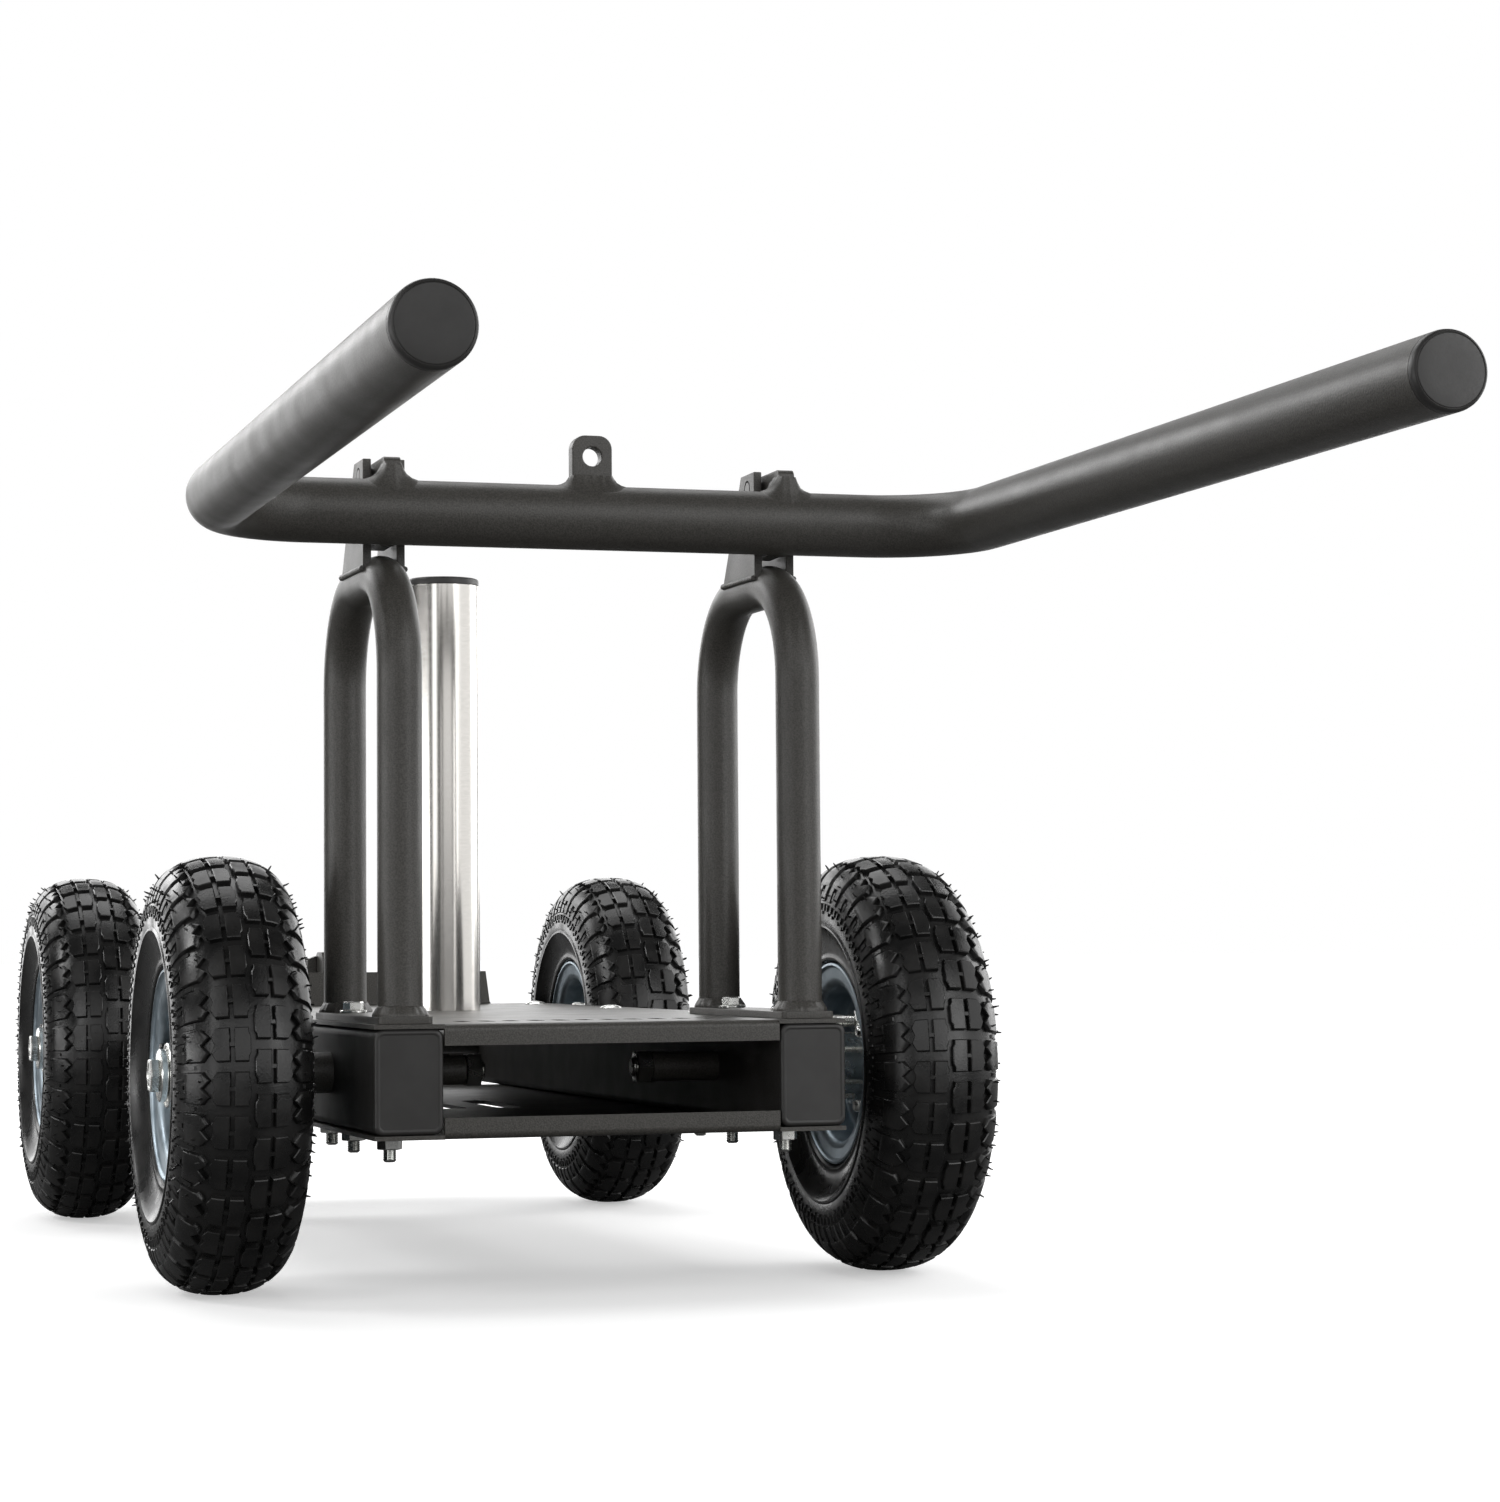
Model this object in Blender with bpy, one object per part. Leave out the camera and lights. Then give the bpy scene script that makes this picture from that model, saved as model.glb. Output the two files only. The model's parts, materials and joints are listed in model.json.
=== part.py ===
"""Four-wheeled push and pull cart.

Two rectangular rails carry a bent deck plate and a bottom plate. A steel post for weight plates
stands on the deck. Two hoops hold the pivots of a U-shaped handle that swings up and over. Four
pneumatic wheels run on axle bolts through the rails.

+X is the right side and -Y the handle end. Sizes are in millimetres and are scaled to metres as
each mesh is made.
"""
import math

import bmesh
import bpy
from mathutils import Vector

MM = 0.001
GAP = 0.3
TAU = 2 * math.pi

# rails and plates
SIDE_X = 121.0
RAIL_W = 40.0
RAIL_H = 60.0
RAIL_WALL = 3.0
RAIL_R = 4.0
RAIL_Z = 128.0
RAIL_FRONT_Y = -178.0
RAIL_REAR_Y = 734.0
CAP_T = 4.0
CAP_PLUG = 16.0
SHEET_T = 2.5
SHEET_REAR_Y = 557.0
DECK_Z = RAIL_Z + RAIL_H / 2 + GAP
DECK_TOP_Z = DECK_Z + SHEET_T
FLOOR_SHEET_Z = RAIL_Z - RAIL_H / 2 - GAP - SHEET_T
LIP_X = 100.3
FRONT_LIP_Z = 148.5
FLOOR_LIP_Z = 107.5
UPSTAND_Z = 186.2
UPSTAND_TOP_X = 96.6
CROSS_Y = 714.0
CROSS_W = 40.0

# hoops, base plates and their bolts
HOOP_R = 13.1
HOOP_WALL = 2.5
HOOP_FRONT_Y = -154.2
HOOP_REAR_Y = 10.3
HOOP_TOP_Z = 424.4
HOOP_BEND = 60.0
BASE_W = 32.0
BASE_T = 4.0
BASE_Y = (-170.0, 26.0)
BASE_Z = DECK_TOP_Z + GAP
HOOP_BOLT_Y = (-123.0, -16.0)
BOLT_R = 4.0
BOLT_HOLE_R = 4.6
BOLT_HEX = 13.0
BOLT_END_Z = 80.0

# pivot brackets
PIVOT_Y = -97.0
PIVOT_Z = 483.7
EAR_OUT = 12.6
EAR_T = 5.0
PIN_R = 4.9
PIN_HOLE_R = 5.25
LUG_T = 10.0

# handle
BAR_R = 19.1
BAR_WALL = 2.5
BAR_Y = -130.5
BAR_Z = 459.0
BAR_BEND = 60.0
ARM_X = 230.0
ARM_END_X = 232.5
ARM_END_Y = -748.0
PLUG_COLLAR = 4.0
HANDLE_END_Y = -754.0
TAB_HALF_W = 12.25
TAB_T = 10.0
TAB_TOP_Z = 508.0
TAB_HOLE_Z = 495.3
TAB_HOLE_R = 5.7
TAB_CORNER = 8.0

# post
POST_R = 25.0
POST_WALL = 2.0
POST_Y = 271.0
POST_TOP_Z = 458.0
POST_CAP_Z = 463.0

# tow eye at the rear
EYE_T = 10.0
EYE_HOLE = (736.0, 180.0)
EYE_HOLE_R = 6.0
EYE_WING_X = 13.0
EYE_WING_Y = (724.0, 734.0)
EYE_WING_Z = 199.0

# wheels
WHEEL_X = 209.0
WHEEL_Y = {"front": -45.3, "rear": 604.7}
WHEEL_Z = 130.0
WHEEL_SIDES = 24
HUB_SIDES = 16
BOLT_SIDES = 12
HUB_R = 19.4
HUB_HALF = 30.5
AXLE_R = 9.0
AXLE_BORE_R = 9.2
AXLE_HEX = 19.0
THREAD_R = 6.0

SIDES = {"left": -1.0, "right": 1.0}


def clear_scene():
    for obj in list(bpy.data.objects):
        bpy.data.objects.remove(obj, do_unlink=True)


def make_material(name, color, roughness, metallic):
    mat = bpy.data.materials.new(name)
    mat.use_nodes = True
    shader = mat.node_tree.nodes["Principled BSDF"]
    shader.inputs["Base Color"].default_value = (color[0], color[1], color[2], 1.0)
    shader.inputs["Roughness"].default_value = roughness
    shader.inputs["Metallic"].default_value = metallic
    return mat


FINISHES = {
    "powder_coat": ((0.075, 0.07, 0.066), 0.5, 0.0),
    "cap_plastic": ((0.045, 0.045, 0.047), 0.45, 0.0),
    "tyre_rubber": ((0.022, 0.022, 0.023), 0.6, 0.0),
    "rim_zinc": ((0.62, 0.66, 0.7), 0.35, 1.0),
    "bolt_zinc": ((0.7, 0.71, 0.72), 0.3, 1.0),
    "pin_steel": ((0.1, 0.1, 0.1), 0.45, 0.8),
    "post_steel": ((0.6, 0.58, 0.55), 0.3, 1.0),
}


def add_object(name, bm, origin, finish, smooth=30.0):
    """Turn a millimetre bmesh into a named object with its own material."""
    bmesh.ops.recalc_face_normals(bm, faces=bm.faces)
    bmesh.ops.scale(bm, vec=(MM, MM, MM), verts=bm.verts)
    mesh = bpy.data.meshes.new(name)
    bm.to_mesh(mesh)
    bm.free()
    obj = bpy.data.objects.new(name, mesh)
    bpy.context.scene.collection.objects.link(obj)
    obj.location = Vector(origin) * MM
    color, roughness, metallic = FINISHES[finish]
    mesh.materials.append(make_material(name + "_" + finish, color, roughness, metallic))
    mesh.shade_smooth()
    mesh.set_sharp_from_angle(angle=math.radians(smooth))
    return obj


def loft(rings, loop=False):
    """Bridge equal rings of points into one body, with flat ends or closed on itself."""
    bm = bmesh.new()
    loops = [[bm.verts.new(point) for point in ring] for ring in rings]
    count = len(loops[0])
    pairs = list(zip(loops, loops[1:]))
    if loop:
        pairs.append((loops[-1], loops[0]))
    for low, high in pairs:
        for i in range(count):
            j = (i + 1) % count
            bm.faces.new((low[i], low[j], high[j], high[i]))
    if not loop:
        bm.faces.new(list(reversed(loops[0])))
        bm.faces.new(loops[-1])
    return bm


def lathe_x(profile, sides):
    """Rings about X. A profile entry is (x, radius) or (x, across flats, "hex")."""
    rings = []
    for entry in profile:
        ring = []
        for i in range(sides):
            angle = TAU * i / sides
            radius = entry[1]
            if len(entry) == 3:
                flat = (angle % (TAU / 6)) - TAU / 12
                radius = entry[1] / 2 / math.cos(flat)
            ring.append((entry[0], radius * math.cos(angle), radius * math.sin(angle)))
        rings.append(ring)
    return rings


def lathe_z(profile, sides):
    return [[(y, z, x) for x, y, z in ring] for ring in lathe_x(profile, sides)]


def lathe_y(profile, sides):
    return [[(z, x, y) for x, y, z in ring] for ring in lathe_x(profile, sides)]


def rounded_rect(half_u, half_v, radius, steps=2):
    points = []
    for quarter, (su, sv) in enumerate(((1, 1), (-1, 1), (-1, -1), (1, -1))):
        for step in range(steps + 1):
            angle = TAU / 4 * (quarter + step / steps)
            u = su * (half_u - radius) + radius * math.cos(angle)
            v = sv * (half_v - radius) + radius * math.sin(angle)
            points.append((u, v))
    return points


def prism_x(outline, half_t):
    """A flat plate normal to X from an outline of (y, z) points."""
    return loft([[(x, y, z) for y, z in outline] for x in (-half_t, half_t)])


def arc(centre_u, centre_v, radius, start, end, steps):
    points = []
    for step in range(steps + 1):
        angle = math.radians(start + (end - start) * step / steps)
        points.append((centre_u + radius * math.cos(angle), centre_v + radius * math.sin(angle)))
    return points


def sweep_rings(path, radius, sides, side_axis):
    """Rings of one radius square to a flat path whose plane is normal to side_axis."""
    rings = []
    last = len(path) - 1
    for i, point in enumerate(path):
        ahead = (path[min(i + 1, last)] - point).normalized() if i < last else None
        behind = (point - path[i - 1]).normalized() if i > 0 else None
        tangent = ((ahead or behind) + (behind or ahead)).normalized()
        across = side_axis.cross(tangent)
        stretch = 1.0
        if ahead and behind:
            stretch = 1.0 / tangent.dot(ahead)
        ring = []
        for k in range(sides):
            angle = TAU * (k + 0.5) / sides
            offset = side_axis * math.cos(angle) + across * (math.sin(angle) * stretch)
            ring.append(tuple(point + offset * radius))
        rings.append(ring)
    return rings


def tube(path, outer, inner, sides, side_axis):
    """A hollow bent tube, open at both ends."""
    outside = sweep_rings(path, outer, sides, side_axis)
    inside = sweep_rings(path, inner, sides, side_axis)
    return loft(outside + list(reversed(inside)), loop=True)


def sheet_cells(xs, ys, low_z, high_z):
    """A flat sheet divided into cells, so that its edges can be folded by extrusion."""
    bm = bmesh.new()
    levels = []
    for z in (low_z, high_z):
        levels.append([[bm.verts.new((x, y, z)) for y in ys] for x in xs])
    low, high = levels
    for i in range(len(xs) - 1):
        for j in range(len(ys) - 1):
            bm.faces.new((low[i][j], low[i][j + 1], low[i + 1][j + 1], low[i + 1][j]))
            bm.faces.new((high[i][j], high[i + 1][j], high[i + 1][j + 1], high[i][j + 1]))
    for i in range(len(xs) - 1):
        for j in (0, -1):
            bm.faces.new((low[i][j], low[i + 1][j], high[i + 1][j], high[i][j]))
    for j in range(len(ys) - 1):
        for i in (0, -1):
            bm.faces.new((low[i][j], low[i][j + 1], high[i][j + 1], high[i][j]))
    return bm


def fold(bm, centre_y, from_z, to_z, top_half_x=None):
    """Extrude the middle cell of one edge of a sheet up or down."""
    found = None
    for face in bm.faces:
        mid = face.calc_center_median()
        if abs(mid.x) < 1 and abs(mid.y - centre_y) < 1 and abs(mid.z - from_z) < 0.01:
            found = face
    made = bmesh.ops.extrude_face_region(bm, geom=[found])
    for vert in (item for item in made["geom"] if isinstance(item, bmesh.types.BMVert)):
        vert.co.z = to_z
        if top_half_x:
            vert.co.x = math.copysign(top_half_x, vert.co.x)
    if found.is_valid:
        bm.faces.remove(found)


def cut(target, cutters, solver_mode="DIFFERENCE"):
    """Cut or join one hidden mesh, which may hold several closed shapes, with a boolean."""
    bm = bmesh.new()
    for piece in cutters:
        temp = bpy.data.meshes.new("cutter_piece")
        piece.to_mesh(temp)
        piece.free()
        bm.from_mesh(temp)
        bpy.data.meshes.remove(temp)
    name = target.name + "_cutter"
    cutter = add_object(name, bm, (0.0, 0.0, 0.0), "pin_steel")
    cutter.location = target.location
    cutter.hide_render = True
    cutter.display_type = "WIRE"
    modifier = target.modifiers.new("bores", "BOOLEAN")
    modifier.operation = solver_mode
    modifier.solver = "EXACT"
    modifier.object = cutter


def cylinder_x(x0, x1, y, z, radius, sides=12):
    rings = lathe_x(((x0, radius), (x1, radius)), sides)
    return loft([[(px, py + y, pz + z) for px, py, pz in ring] for ring in rings])


def cylinder_y(y0, y1, x, z, radius, sides=12):
    rings = lathe_y(((y0, radius), (y1, radius)), sides)
    return loft([[(px + x, py, pz + z) for px, py, pz in ring] for ring in rings])


def cylinder_z(z0, z1, x, y, radius, sides=12):
    rings = lathe_z(((z0, radius), (z1, radius)), sides)
    return loft([[(px + x, py + y, pz) for px, py, pz in ring] for ring in rings])


def build_rail(side, sign):
    x = sign * SIDE_X
    outer = rounded_rect(RAIL_W / 2, RAIL_H / 2, RAIL_R)
    inner = rounded_rect(RAIL_W / 2 - RAIL_WALL, RAIL_H / 2 - RAIL_WALL, RAIL_R - RAIL_WALL / 2)
    y0 = RAIL_FRONT_Y + CAP_T + GAP
    y1 = RAIL_REAR_Y - CAP_T - GAP
    rings = []
    for y, outline in ((y0, outer), (y1, outer), (y1, inner), (y0, inner)):
        rings.append([(u, y, v) for u, v in outline])
    rail = add_object(side + "_rail", loft(rings, loop=True), (x, 0, RAIL_Z), "powder_coat")
    bores = []
    for y in WHEEL_Y.values():
        bores.append(cylinder_x(-RAIL_W, RAIL_W, y, WHEEL_Z - RAIL_Z, AXLE_BORE_R + GAP))
    for y in HOOP_BOLT_Y:
        bores.append(cylinder_z(-RAIL_H, RAIL_H, 0, y, BOLT_HOLE_R))
    cut(rail, bores)


def build_rail_cap(name, x, face_y, inward):
    """A moulded plug: a rounded flange with a softened rim and a block inside the tube."""
    plug_u = RAIL_W / 2 - RAIL_WALL - GAP
    plug_v = RAIL_H / 2 - RAIL_WALL - GAP
    rings = []
    for depth, half_u, half_v, radius in (
        (0.0, RAIL_W / 2 - 1, RAIL_H / 2 - 1, RAIL_R - 1),
        (1.0, RAIL_W / 2, RAIL_H / 2, RAIL_R),
        (CAP_T, RAIL_W / 2, RAIL_H / 2, RAIL_R),
        (CAP_T, plug_u, plug_v, RAIL_R / 2),
        (CAP_T + CAP_PLUG, plug_u, plug_v, RAIL_R / 2),
    ):
        rings.append([(u, inward * depth, v) for u, v in rounded_rect(half_u, half_v, radius)])
    add_object(name, loft(rings), (x, face_y, RAIL_Z), "cap_plastic")


def sheet_bores(z):
    bores = []
    for sign in SIDES.values():
        for y in HOOP_BOLT_Y:
            bores.append(cylinder_z(z - 5, z + 5, sign * SIDE_X, y, BOLT_HOLE_R))
    return bores


def build_sheets():
    edge_x = SIDE_X + RAIL_W / 2
    xs = (-edge_x, -LIP_X, LIP_X, edge_x)
    front_y = RAIL_FRONT_Y + SHEET_T
    rear_y = SHEET_REAR_Y - SHEET_T
    deck_bm = sheet_cells(xs, (RAIL_FRONT_Y, front_y, rear_y, SHEET_REAR_Y), DECK_Z, DECK_TOP_Z)
    fold(deck_bm, RAIL_FRONT_Y + SHEET_T / 2, DECK_Z, FRONT_LIP_Z)
    fold(deck_bm, SHEET_REAR_Y - SHEET_T / 2, DECK_TOP_Z, UPSTAND_Z, UPSTAND_TOP_X)
    deck = add_object("deck_plate", deck_bm, (0, 0, 0), "powder_coat")
    cut(deck, sheet_bores(DECK_Z))
    top_z = FLOOR_SHEET_Z + SHEET_T
    floor_bm = sheet_cells(xs, (RAIL_FRONT_Y, front_y, SHEET_REAR_Y), FLOOR_SHEET_Z, top_z)
    fold(floor_bm, RAIL_FRONT_Y + SHEET_T / 2, top_z, FLOOR_LIP_Z)
    floor_sheet = add_object("bottom_plate", floor_bm, (0, 0, 0), "powder_coat")
    cut(floor_sheet, sheet_bores(FLOOR_SHEET_Z))


def build_cross_tube():
    outer = rounded_rect(CROSS_W / 2, RAIL_H / 2, RAIL_R)
    inner = rounded_rect(CROSS_W / 2 - RAIL_WALL, RAIL_H / 2 - RAIL_WALL, RAIL_R - RAIL_WALL / 2)
    rings = []
    for x, outline in ((-LIP_X, outer), (LIP_X, outer), (LIP_X, inner), (-LIP_X, inner)):
        rings.append([(x, u, v) for u, v in outline])
    add_object("rear_cross_tube", loft(rings, loop=True), (0, CROSS_Y, RAIL_Z), "powder_coat")


def build_tow_eye():
    base_z = RAIL_Z + RAIL_H / 2 + GAP
    outline = (
        (CROSS_Y - 16, base_z), (RAIL_REAR_Y, base_z), (754.0, 166.0), (754.0, 186.0),
        (720.0, 202.0), (704.0, 202.0), (CROSS_Y - 16, 194.0),
    )
    eye = add_object("rear_tow_eye", prism_x(outline, EYE_T / 2), (0, 0, 0), "powder_coat")
    wing = []
    for x in (-EYE_WING_X, EYE_WING_X):
        y0, y1 = EYE_WING_Y
        wing.append([(x, y0, base_z), (x, y1, base_z), (x, y1, EYE_WING_Z), (x, y0, EYE_WING_Z)])
    cut(eye, [loft(wing)], "UNION")


def build_hoop(side, sign):
    """An inverted U of tube whose legs stand on the base plate."""
    foot_z = BASE_Z + BASE_T + GAP
    path = [(HOOP_FRONT_Y, foot_z)]
    path += arc(HOOP_FRONT_Y + HOOP_BEND, HOOP_TOP_Z - HOOP_BEND, HOOP_BEND, 180, 90, 5)
    path += arc(HOOP_REAR_Y - HOOP_BEND, HOOP_TOP_Z - HOOP_BEND, HOOP_BEND, 90, 0, 5)
    path.append((HOOP_REAR_Y, foot_z))
    points = [Vector((0, y, z)) for y, z in path]
    bm = tube(points, HOOP_R, HOOP_R - HOOP_WALL, 12, Vector((1, 0, 0)))
    add_object("hoop_" + side, bm, (sign * SIDE_X, 0, 0), "powder_coat", 40.0)

    rings = []
    for z in (BASE_Z, BASE_Z + BASE_T):
        y0, y1 = BASE_Y
        w = BASE_W / 2
        rings.append([(-w, y0, z), (w, y0, z), (w, y1, z), (-w, y1, z)])
    plate = add_object("hoop_base_" + side, loft(rings), (sign * SIDE_X, 0, 0), "powder_coat")
    cut(plate, [cylinder_z(BASE_Z - 3, BASE_Z + 9, 0, y, BOLT_HOLE_R) for y in HOOP_BOLT_Y])

    top = BASE_Z + BASE_T + GAP
    low = FLOOR_SHEET_Z - GAP
    for where, y in zip(("front", "rear"), HOOP_BOLT_Y):
        profile = (
            (BOLT_END_Z, BOLT_R), (low - 7, BOLT_R), (low - 7, BOLT_HEX, "hex"),
            (low, BOLT_HEX, "hex"), (low, BOLT_R), (top, BOLT_R), (top, 8.0),
            (top + 1.6, 8.0), (top + 1.6, BOLT_HEX, "hex"), (top + 7, BOLT_HEX, "hex"),
        )
        bolt = loft(lathe_z(profile, BOLT_SIDES))
        name = "hoop_bolt_" + side + "_" + where
        add_object(name, bolt, (sign * SIDE_X, y, 0), "bolt_zinc")


def build_pivot(side, sign):
    """Two ears on the hoop, the pin through them, and the handle's lug between them."""
    hoop_top = HOOP_TOP_Z + HOOP_R + GAP
    ear = (
        (-111.0, hoop_top), (-48.0, hoop_top), (-78.5, 484.0), (-84.0, 493.0), (-111.0, 493.0),
    )
    for where, shift in (("outer", sign), ("inner", -sign)):
        x = sign * SIDE_X + shift * (EAR_OUT - EAR_T / 2)
        name = "ear_" + side + "_" + where
        plate = add_object(name, prism_x(ear, EAR_T / 2), (x, 0, 0), "powder_coat")
        cut(plate, [cylinder_x(-EAR_T, EAR_T, PIVOT_Y, PIVOT_Z, PIN_HOLE_R)])
    pin = loft(lathe_x(((-EAR_OUT, PIN_R), (EAR_OUT, PIN_R)), 12))
    add_object("pivot_pin_" + side, pin, (sign * SIDE_X, PIVOT_Y, PIVOT_Z), "pin_steel")

    saddle = arc(BAR_Y, BAR_Z, BAR_R + 2 * GAP, 109, -66, 9)
    lug = saddle + [(-88.0, 441.0), (-84.0, 445.0), (-84.0, 487.5), (-88.0, 491.5)]
    lug += [(-132.0, 491.5), (-137.0, 486.5)]
    outline = [(y - PIVOT_Y, z - PIVOT_Z) for y, z in lug]
    origin = (sign * SIDE_X, PIVOT_Y, PIVOT_Z)
    plate = add_object("lug_" + side, prism_x(outline, LUG_T / 2), origin, "powder_coat")
    cut(plate, [cylinder_x(-LUG_T, LUG_T, 0, 0, PIN_HOLE_R)])


def build_handle():
    """The U-shaped handle with its eye tab and end plugs; every origin is on the pivot axis."""
    origin = (0, PIVOT_Y, PIVOT_Z)
    y = BAR_Y - PIVOT_Y
    z = BAR_Z - PIVOT_Z
    end = ARM_END_Y - PIVOT_Y
    half = arc(ARM_X - BAR_BEND, y - BAR_BEND, BAR_BEND, 90, 0, 5)
    path = [(-u, v) for u, v in reversed(half)] + half
    path = [(-ARM_END_X, end)] + path + [(ARM_END_X, end)]
    points = [Vector((px, py, z)) for px, py in path]
    bar = tube(points, BAR_R, BAR_R - BAR_WALL, 16, Vector((0, 0, 1)))
    add_object("handle_bar", bar, origin, "powder_coat", 40.0)
    for side, sign in SIDES.items():
        inside = BAR_R - BAR_WALL - 2 * GAP
        outer_y = HANDLE_END_Y - PIVOT_Y
        profile = (
            (outer_y, 12.0), (outer_y + 1.5, BAR_R - 1.5), (end - GAP - 1.0, BAR_R),
            (end - GAP, BAR_R), (end - GAP, inside), (end + 20, inside),
        )
        rings = []
        for ring in lathe_y(profile, 16):
            rings.append([(px + sign * ARM_END_X, py, pz + z) for px, py, pz in ring])
        add_object("handle_plug_" + side, loft(rings), origin, "cap_plastic")
    low = BAR_Z + BAR_R + GAP
    corner = TAB_HALF_W - TAB_CORNER
    top = TAB_TOP_Z - TAB_CORNER
    outline = [(TAB_HALF_W, low)] + arc(corner, top, TAB_CORNER, 0, 90, 4)
    outline += arc(-corner, top, TAB_CORNER, 90, 180, 4) + [(-TAB_HALF_W, low)]
    rings = []
    for offset in (-TAB_T / 2, TAB_T / 2):
        rings.append([(px, y + offset, pz - PIVOT_Z) for px, pz in outline])
    tab = add_object("eye_tab", loft(rings), origin, "powder_coat")
    hole_z = TAB_HOLE_Z - PIVOT_Z
    cut(tab, [cylinder_y(y - TAB_T, y + TAB_T, 0, hole_z, TAB_HOLE_R)])


def build_post():
    inner = POST_R - POST_WALL
    profile = (
        (BASE_Z, POST_R), (POST_TOP_Z, POST_R), (POST_TOP_Z, inner), (BASE_Z, inner),
    )
    post = loft(lathe_z(profile, 24), loop=True)
    add_object("weight_post", post, (0, POST_Y, 0), "post_steel")
    plug = inner - 2 * GAP
    profile = (
        (POST_TOP_Z - 20, plug), (POST_TOP_Z + GAP, plug), (POST_TOP_Z + GAP, POST_R),
        (POST_CAP_Z - 1.5, POST_R), (POST_CAP_Z, POST_R - 1.5),
    )
    add_object("post_cap", loft(lathe_z(profile, 24)), (0, POST_Y, 0), "cap_plastic")


def build_wheel(side, sign, where):
    """Tyre, two pressed rim halves and hub, all with their origin at the wheel's centre."""
    name = where + "_" + side
    origin = (sign * WHEEL_X, WHEEL_Y[where], WHEEL_Z)
    outside = ((27.4, 51.2), (28.0, 64.0), (39.5, 86.0), (40.5, 100.0), (34.0, 123.5), (20.0, 130.0))
    inside = ((27.0, 118.0), (34.0, 92.0), (24.0, 66.0), (22.0, 51.2))
    section = list(outside) + [(-x, r) for x, r in reversed(outside)]
    section += [(-x, r) for x, r in reversed(inside)] + list(inside)
    tyre = loft(lathe_x(section, WHEEL_SIDES), loop=True)
    add_object("tyre_" + name, tyre, origin, "tyre_rubber", 40.0)
    bore = HUB_R + 2 * GAP
    half = (
        (0.2, bore), (0.2, 50.3), (27.8, 50.3), (28.5, 63.0), (31.0, 63.0),
        (31.0, 47.8), (2.7, 47.8), (2.7, bore),
    )
    for place, way in (("outer", sign), ("inner", -sign)):
        rings = lathe_x([(way * x, r) for x, r in half], WHEEL_SIDES)
        add_object("rim_" + place + "_" + name, loft(rings, loop=True), origin, "rim_zinc")
    hub = (
        (-HUB_HALF, AXLE_BORE_R), (-HUB_HALF, HUB_R), (HUB_HALF, HUB_R), (HUB_HALF, AXLE_BORE_R),
    )
    add_object("hub_" + name, loft(lathe_x(hub, HUB_SIDES), loop=True), origin, "bolt_zinc")

    outer = HUB_HALF + GAP
    rail_out = SIDE_X + RAIL_W / 2 - WHEEL_X + GAP
    profile = (
        (outer + 9.7, AXLE_HEX, "hex"), (outer + 4.5, AXLE_HEX, "hex"), (outer + 4.5, 15.7),
        (outer, 15.7), (outer, AXLE_R), (-outer, AXLE_R), (-outer, 12.5), (rail_out, 12.5),
        (rail_out, AXLE_R), (58.8 - WHEEL_X, AXLE_R), (58.8 - WHEEL_X, THREAD_R),
        (46.5 - WHEEL_X, THREAD_R),
    )
    rings = lathe_x([(sign * entry[0],) + tuple(entry[1:]) for entry in profile], BOLT_SIDES)
    add_object("axle_bolt_" + name, loft(rings), origin, "bolt_zinc")
    bore_r = THREAD_R + GAP
    nut = (
        (58.5, bore_r), (58.5, AXLE_HEX, "hex"), (48.8, AXLE_HEX, "hex"), (48.8, bore_r),
    )
    shifted = [(sign * (entry[0] - WHEEL_X),) + tuple(entry[1:]) for entry in nut]
    rings = lathe_x(shifted, BOLT_SIDES)
    add_object("axle_nut_" + name, loft(rings, loop=True), origin, "bolt_zinc")


def main():
    clear_scene()
    build_sheets()
    build_cross_tube()
    build_tow_eye()
    for side, sign in SIDES.items():
        build_rail(side, sign)
        build_rail_cap("rail_cap_front_" + side, sign * SIDE_X, RAIL_FRONT_Y, 1.0)
        build_rail_cap("rail_cap_rear_" + side, sign * SIDE_X, RAIL_REAR_Y, -1.0)
        build_hoop(side, sign)
        build_pivot(side, sign)
        for where in WHEEL_Y:
            build_wheel(side, sign, where)
    build_handle()
    build_post()
    bpy.context.view_layer.update()


main()
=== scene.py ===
"""The looks of the four-wheeled push and pull cart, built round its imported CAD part."""
import json
import math
import random

import bmesh
import bpy
from mathutils import Matrix, Vector


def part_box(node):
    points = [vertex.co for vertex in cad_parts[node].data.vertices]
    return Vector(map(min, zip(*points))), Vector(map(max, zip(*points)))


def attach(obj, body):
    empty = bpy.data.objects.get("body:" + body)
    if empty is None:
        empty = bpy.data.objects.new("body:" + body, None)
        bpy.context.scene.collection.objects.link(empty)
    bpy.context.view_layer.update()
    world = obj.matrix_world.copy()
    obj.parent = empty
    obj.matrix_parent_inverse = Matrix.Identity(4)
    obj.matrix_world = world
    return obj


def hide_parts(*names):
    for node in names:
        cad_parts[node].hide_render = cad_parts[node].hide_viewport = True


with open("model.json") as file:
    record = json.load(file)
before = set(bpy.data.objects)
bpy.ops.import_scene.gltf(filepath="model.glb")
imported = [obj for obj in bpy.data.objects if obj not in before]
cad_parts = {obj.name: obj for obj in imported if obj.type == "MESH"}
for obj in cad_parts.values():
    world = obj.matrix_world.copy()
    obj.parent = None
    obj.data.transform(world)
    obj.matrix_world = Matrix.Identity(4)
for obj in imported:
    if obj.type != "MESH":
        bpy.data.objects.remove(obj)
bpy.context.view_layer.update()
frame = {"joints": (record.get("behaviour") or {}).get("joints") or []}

MM = 0.001
TAU = 2 * math.pi
SIDES = {"left": -1.0, "right": 1.0}
X_AXIS = Vector((1, 0, 0))
Y_AXIS = Vector((0, 1, 0))
Z_AXIS = Vector((0, 0, 1))


def box_mm(node):
    """The lowest and highest corner of a CAD node, in millimetres."""
    low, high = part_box(node)
    return Vector(low) / MM, Vector(high) / MM


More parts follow.
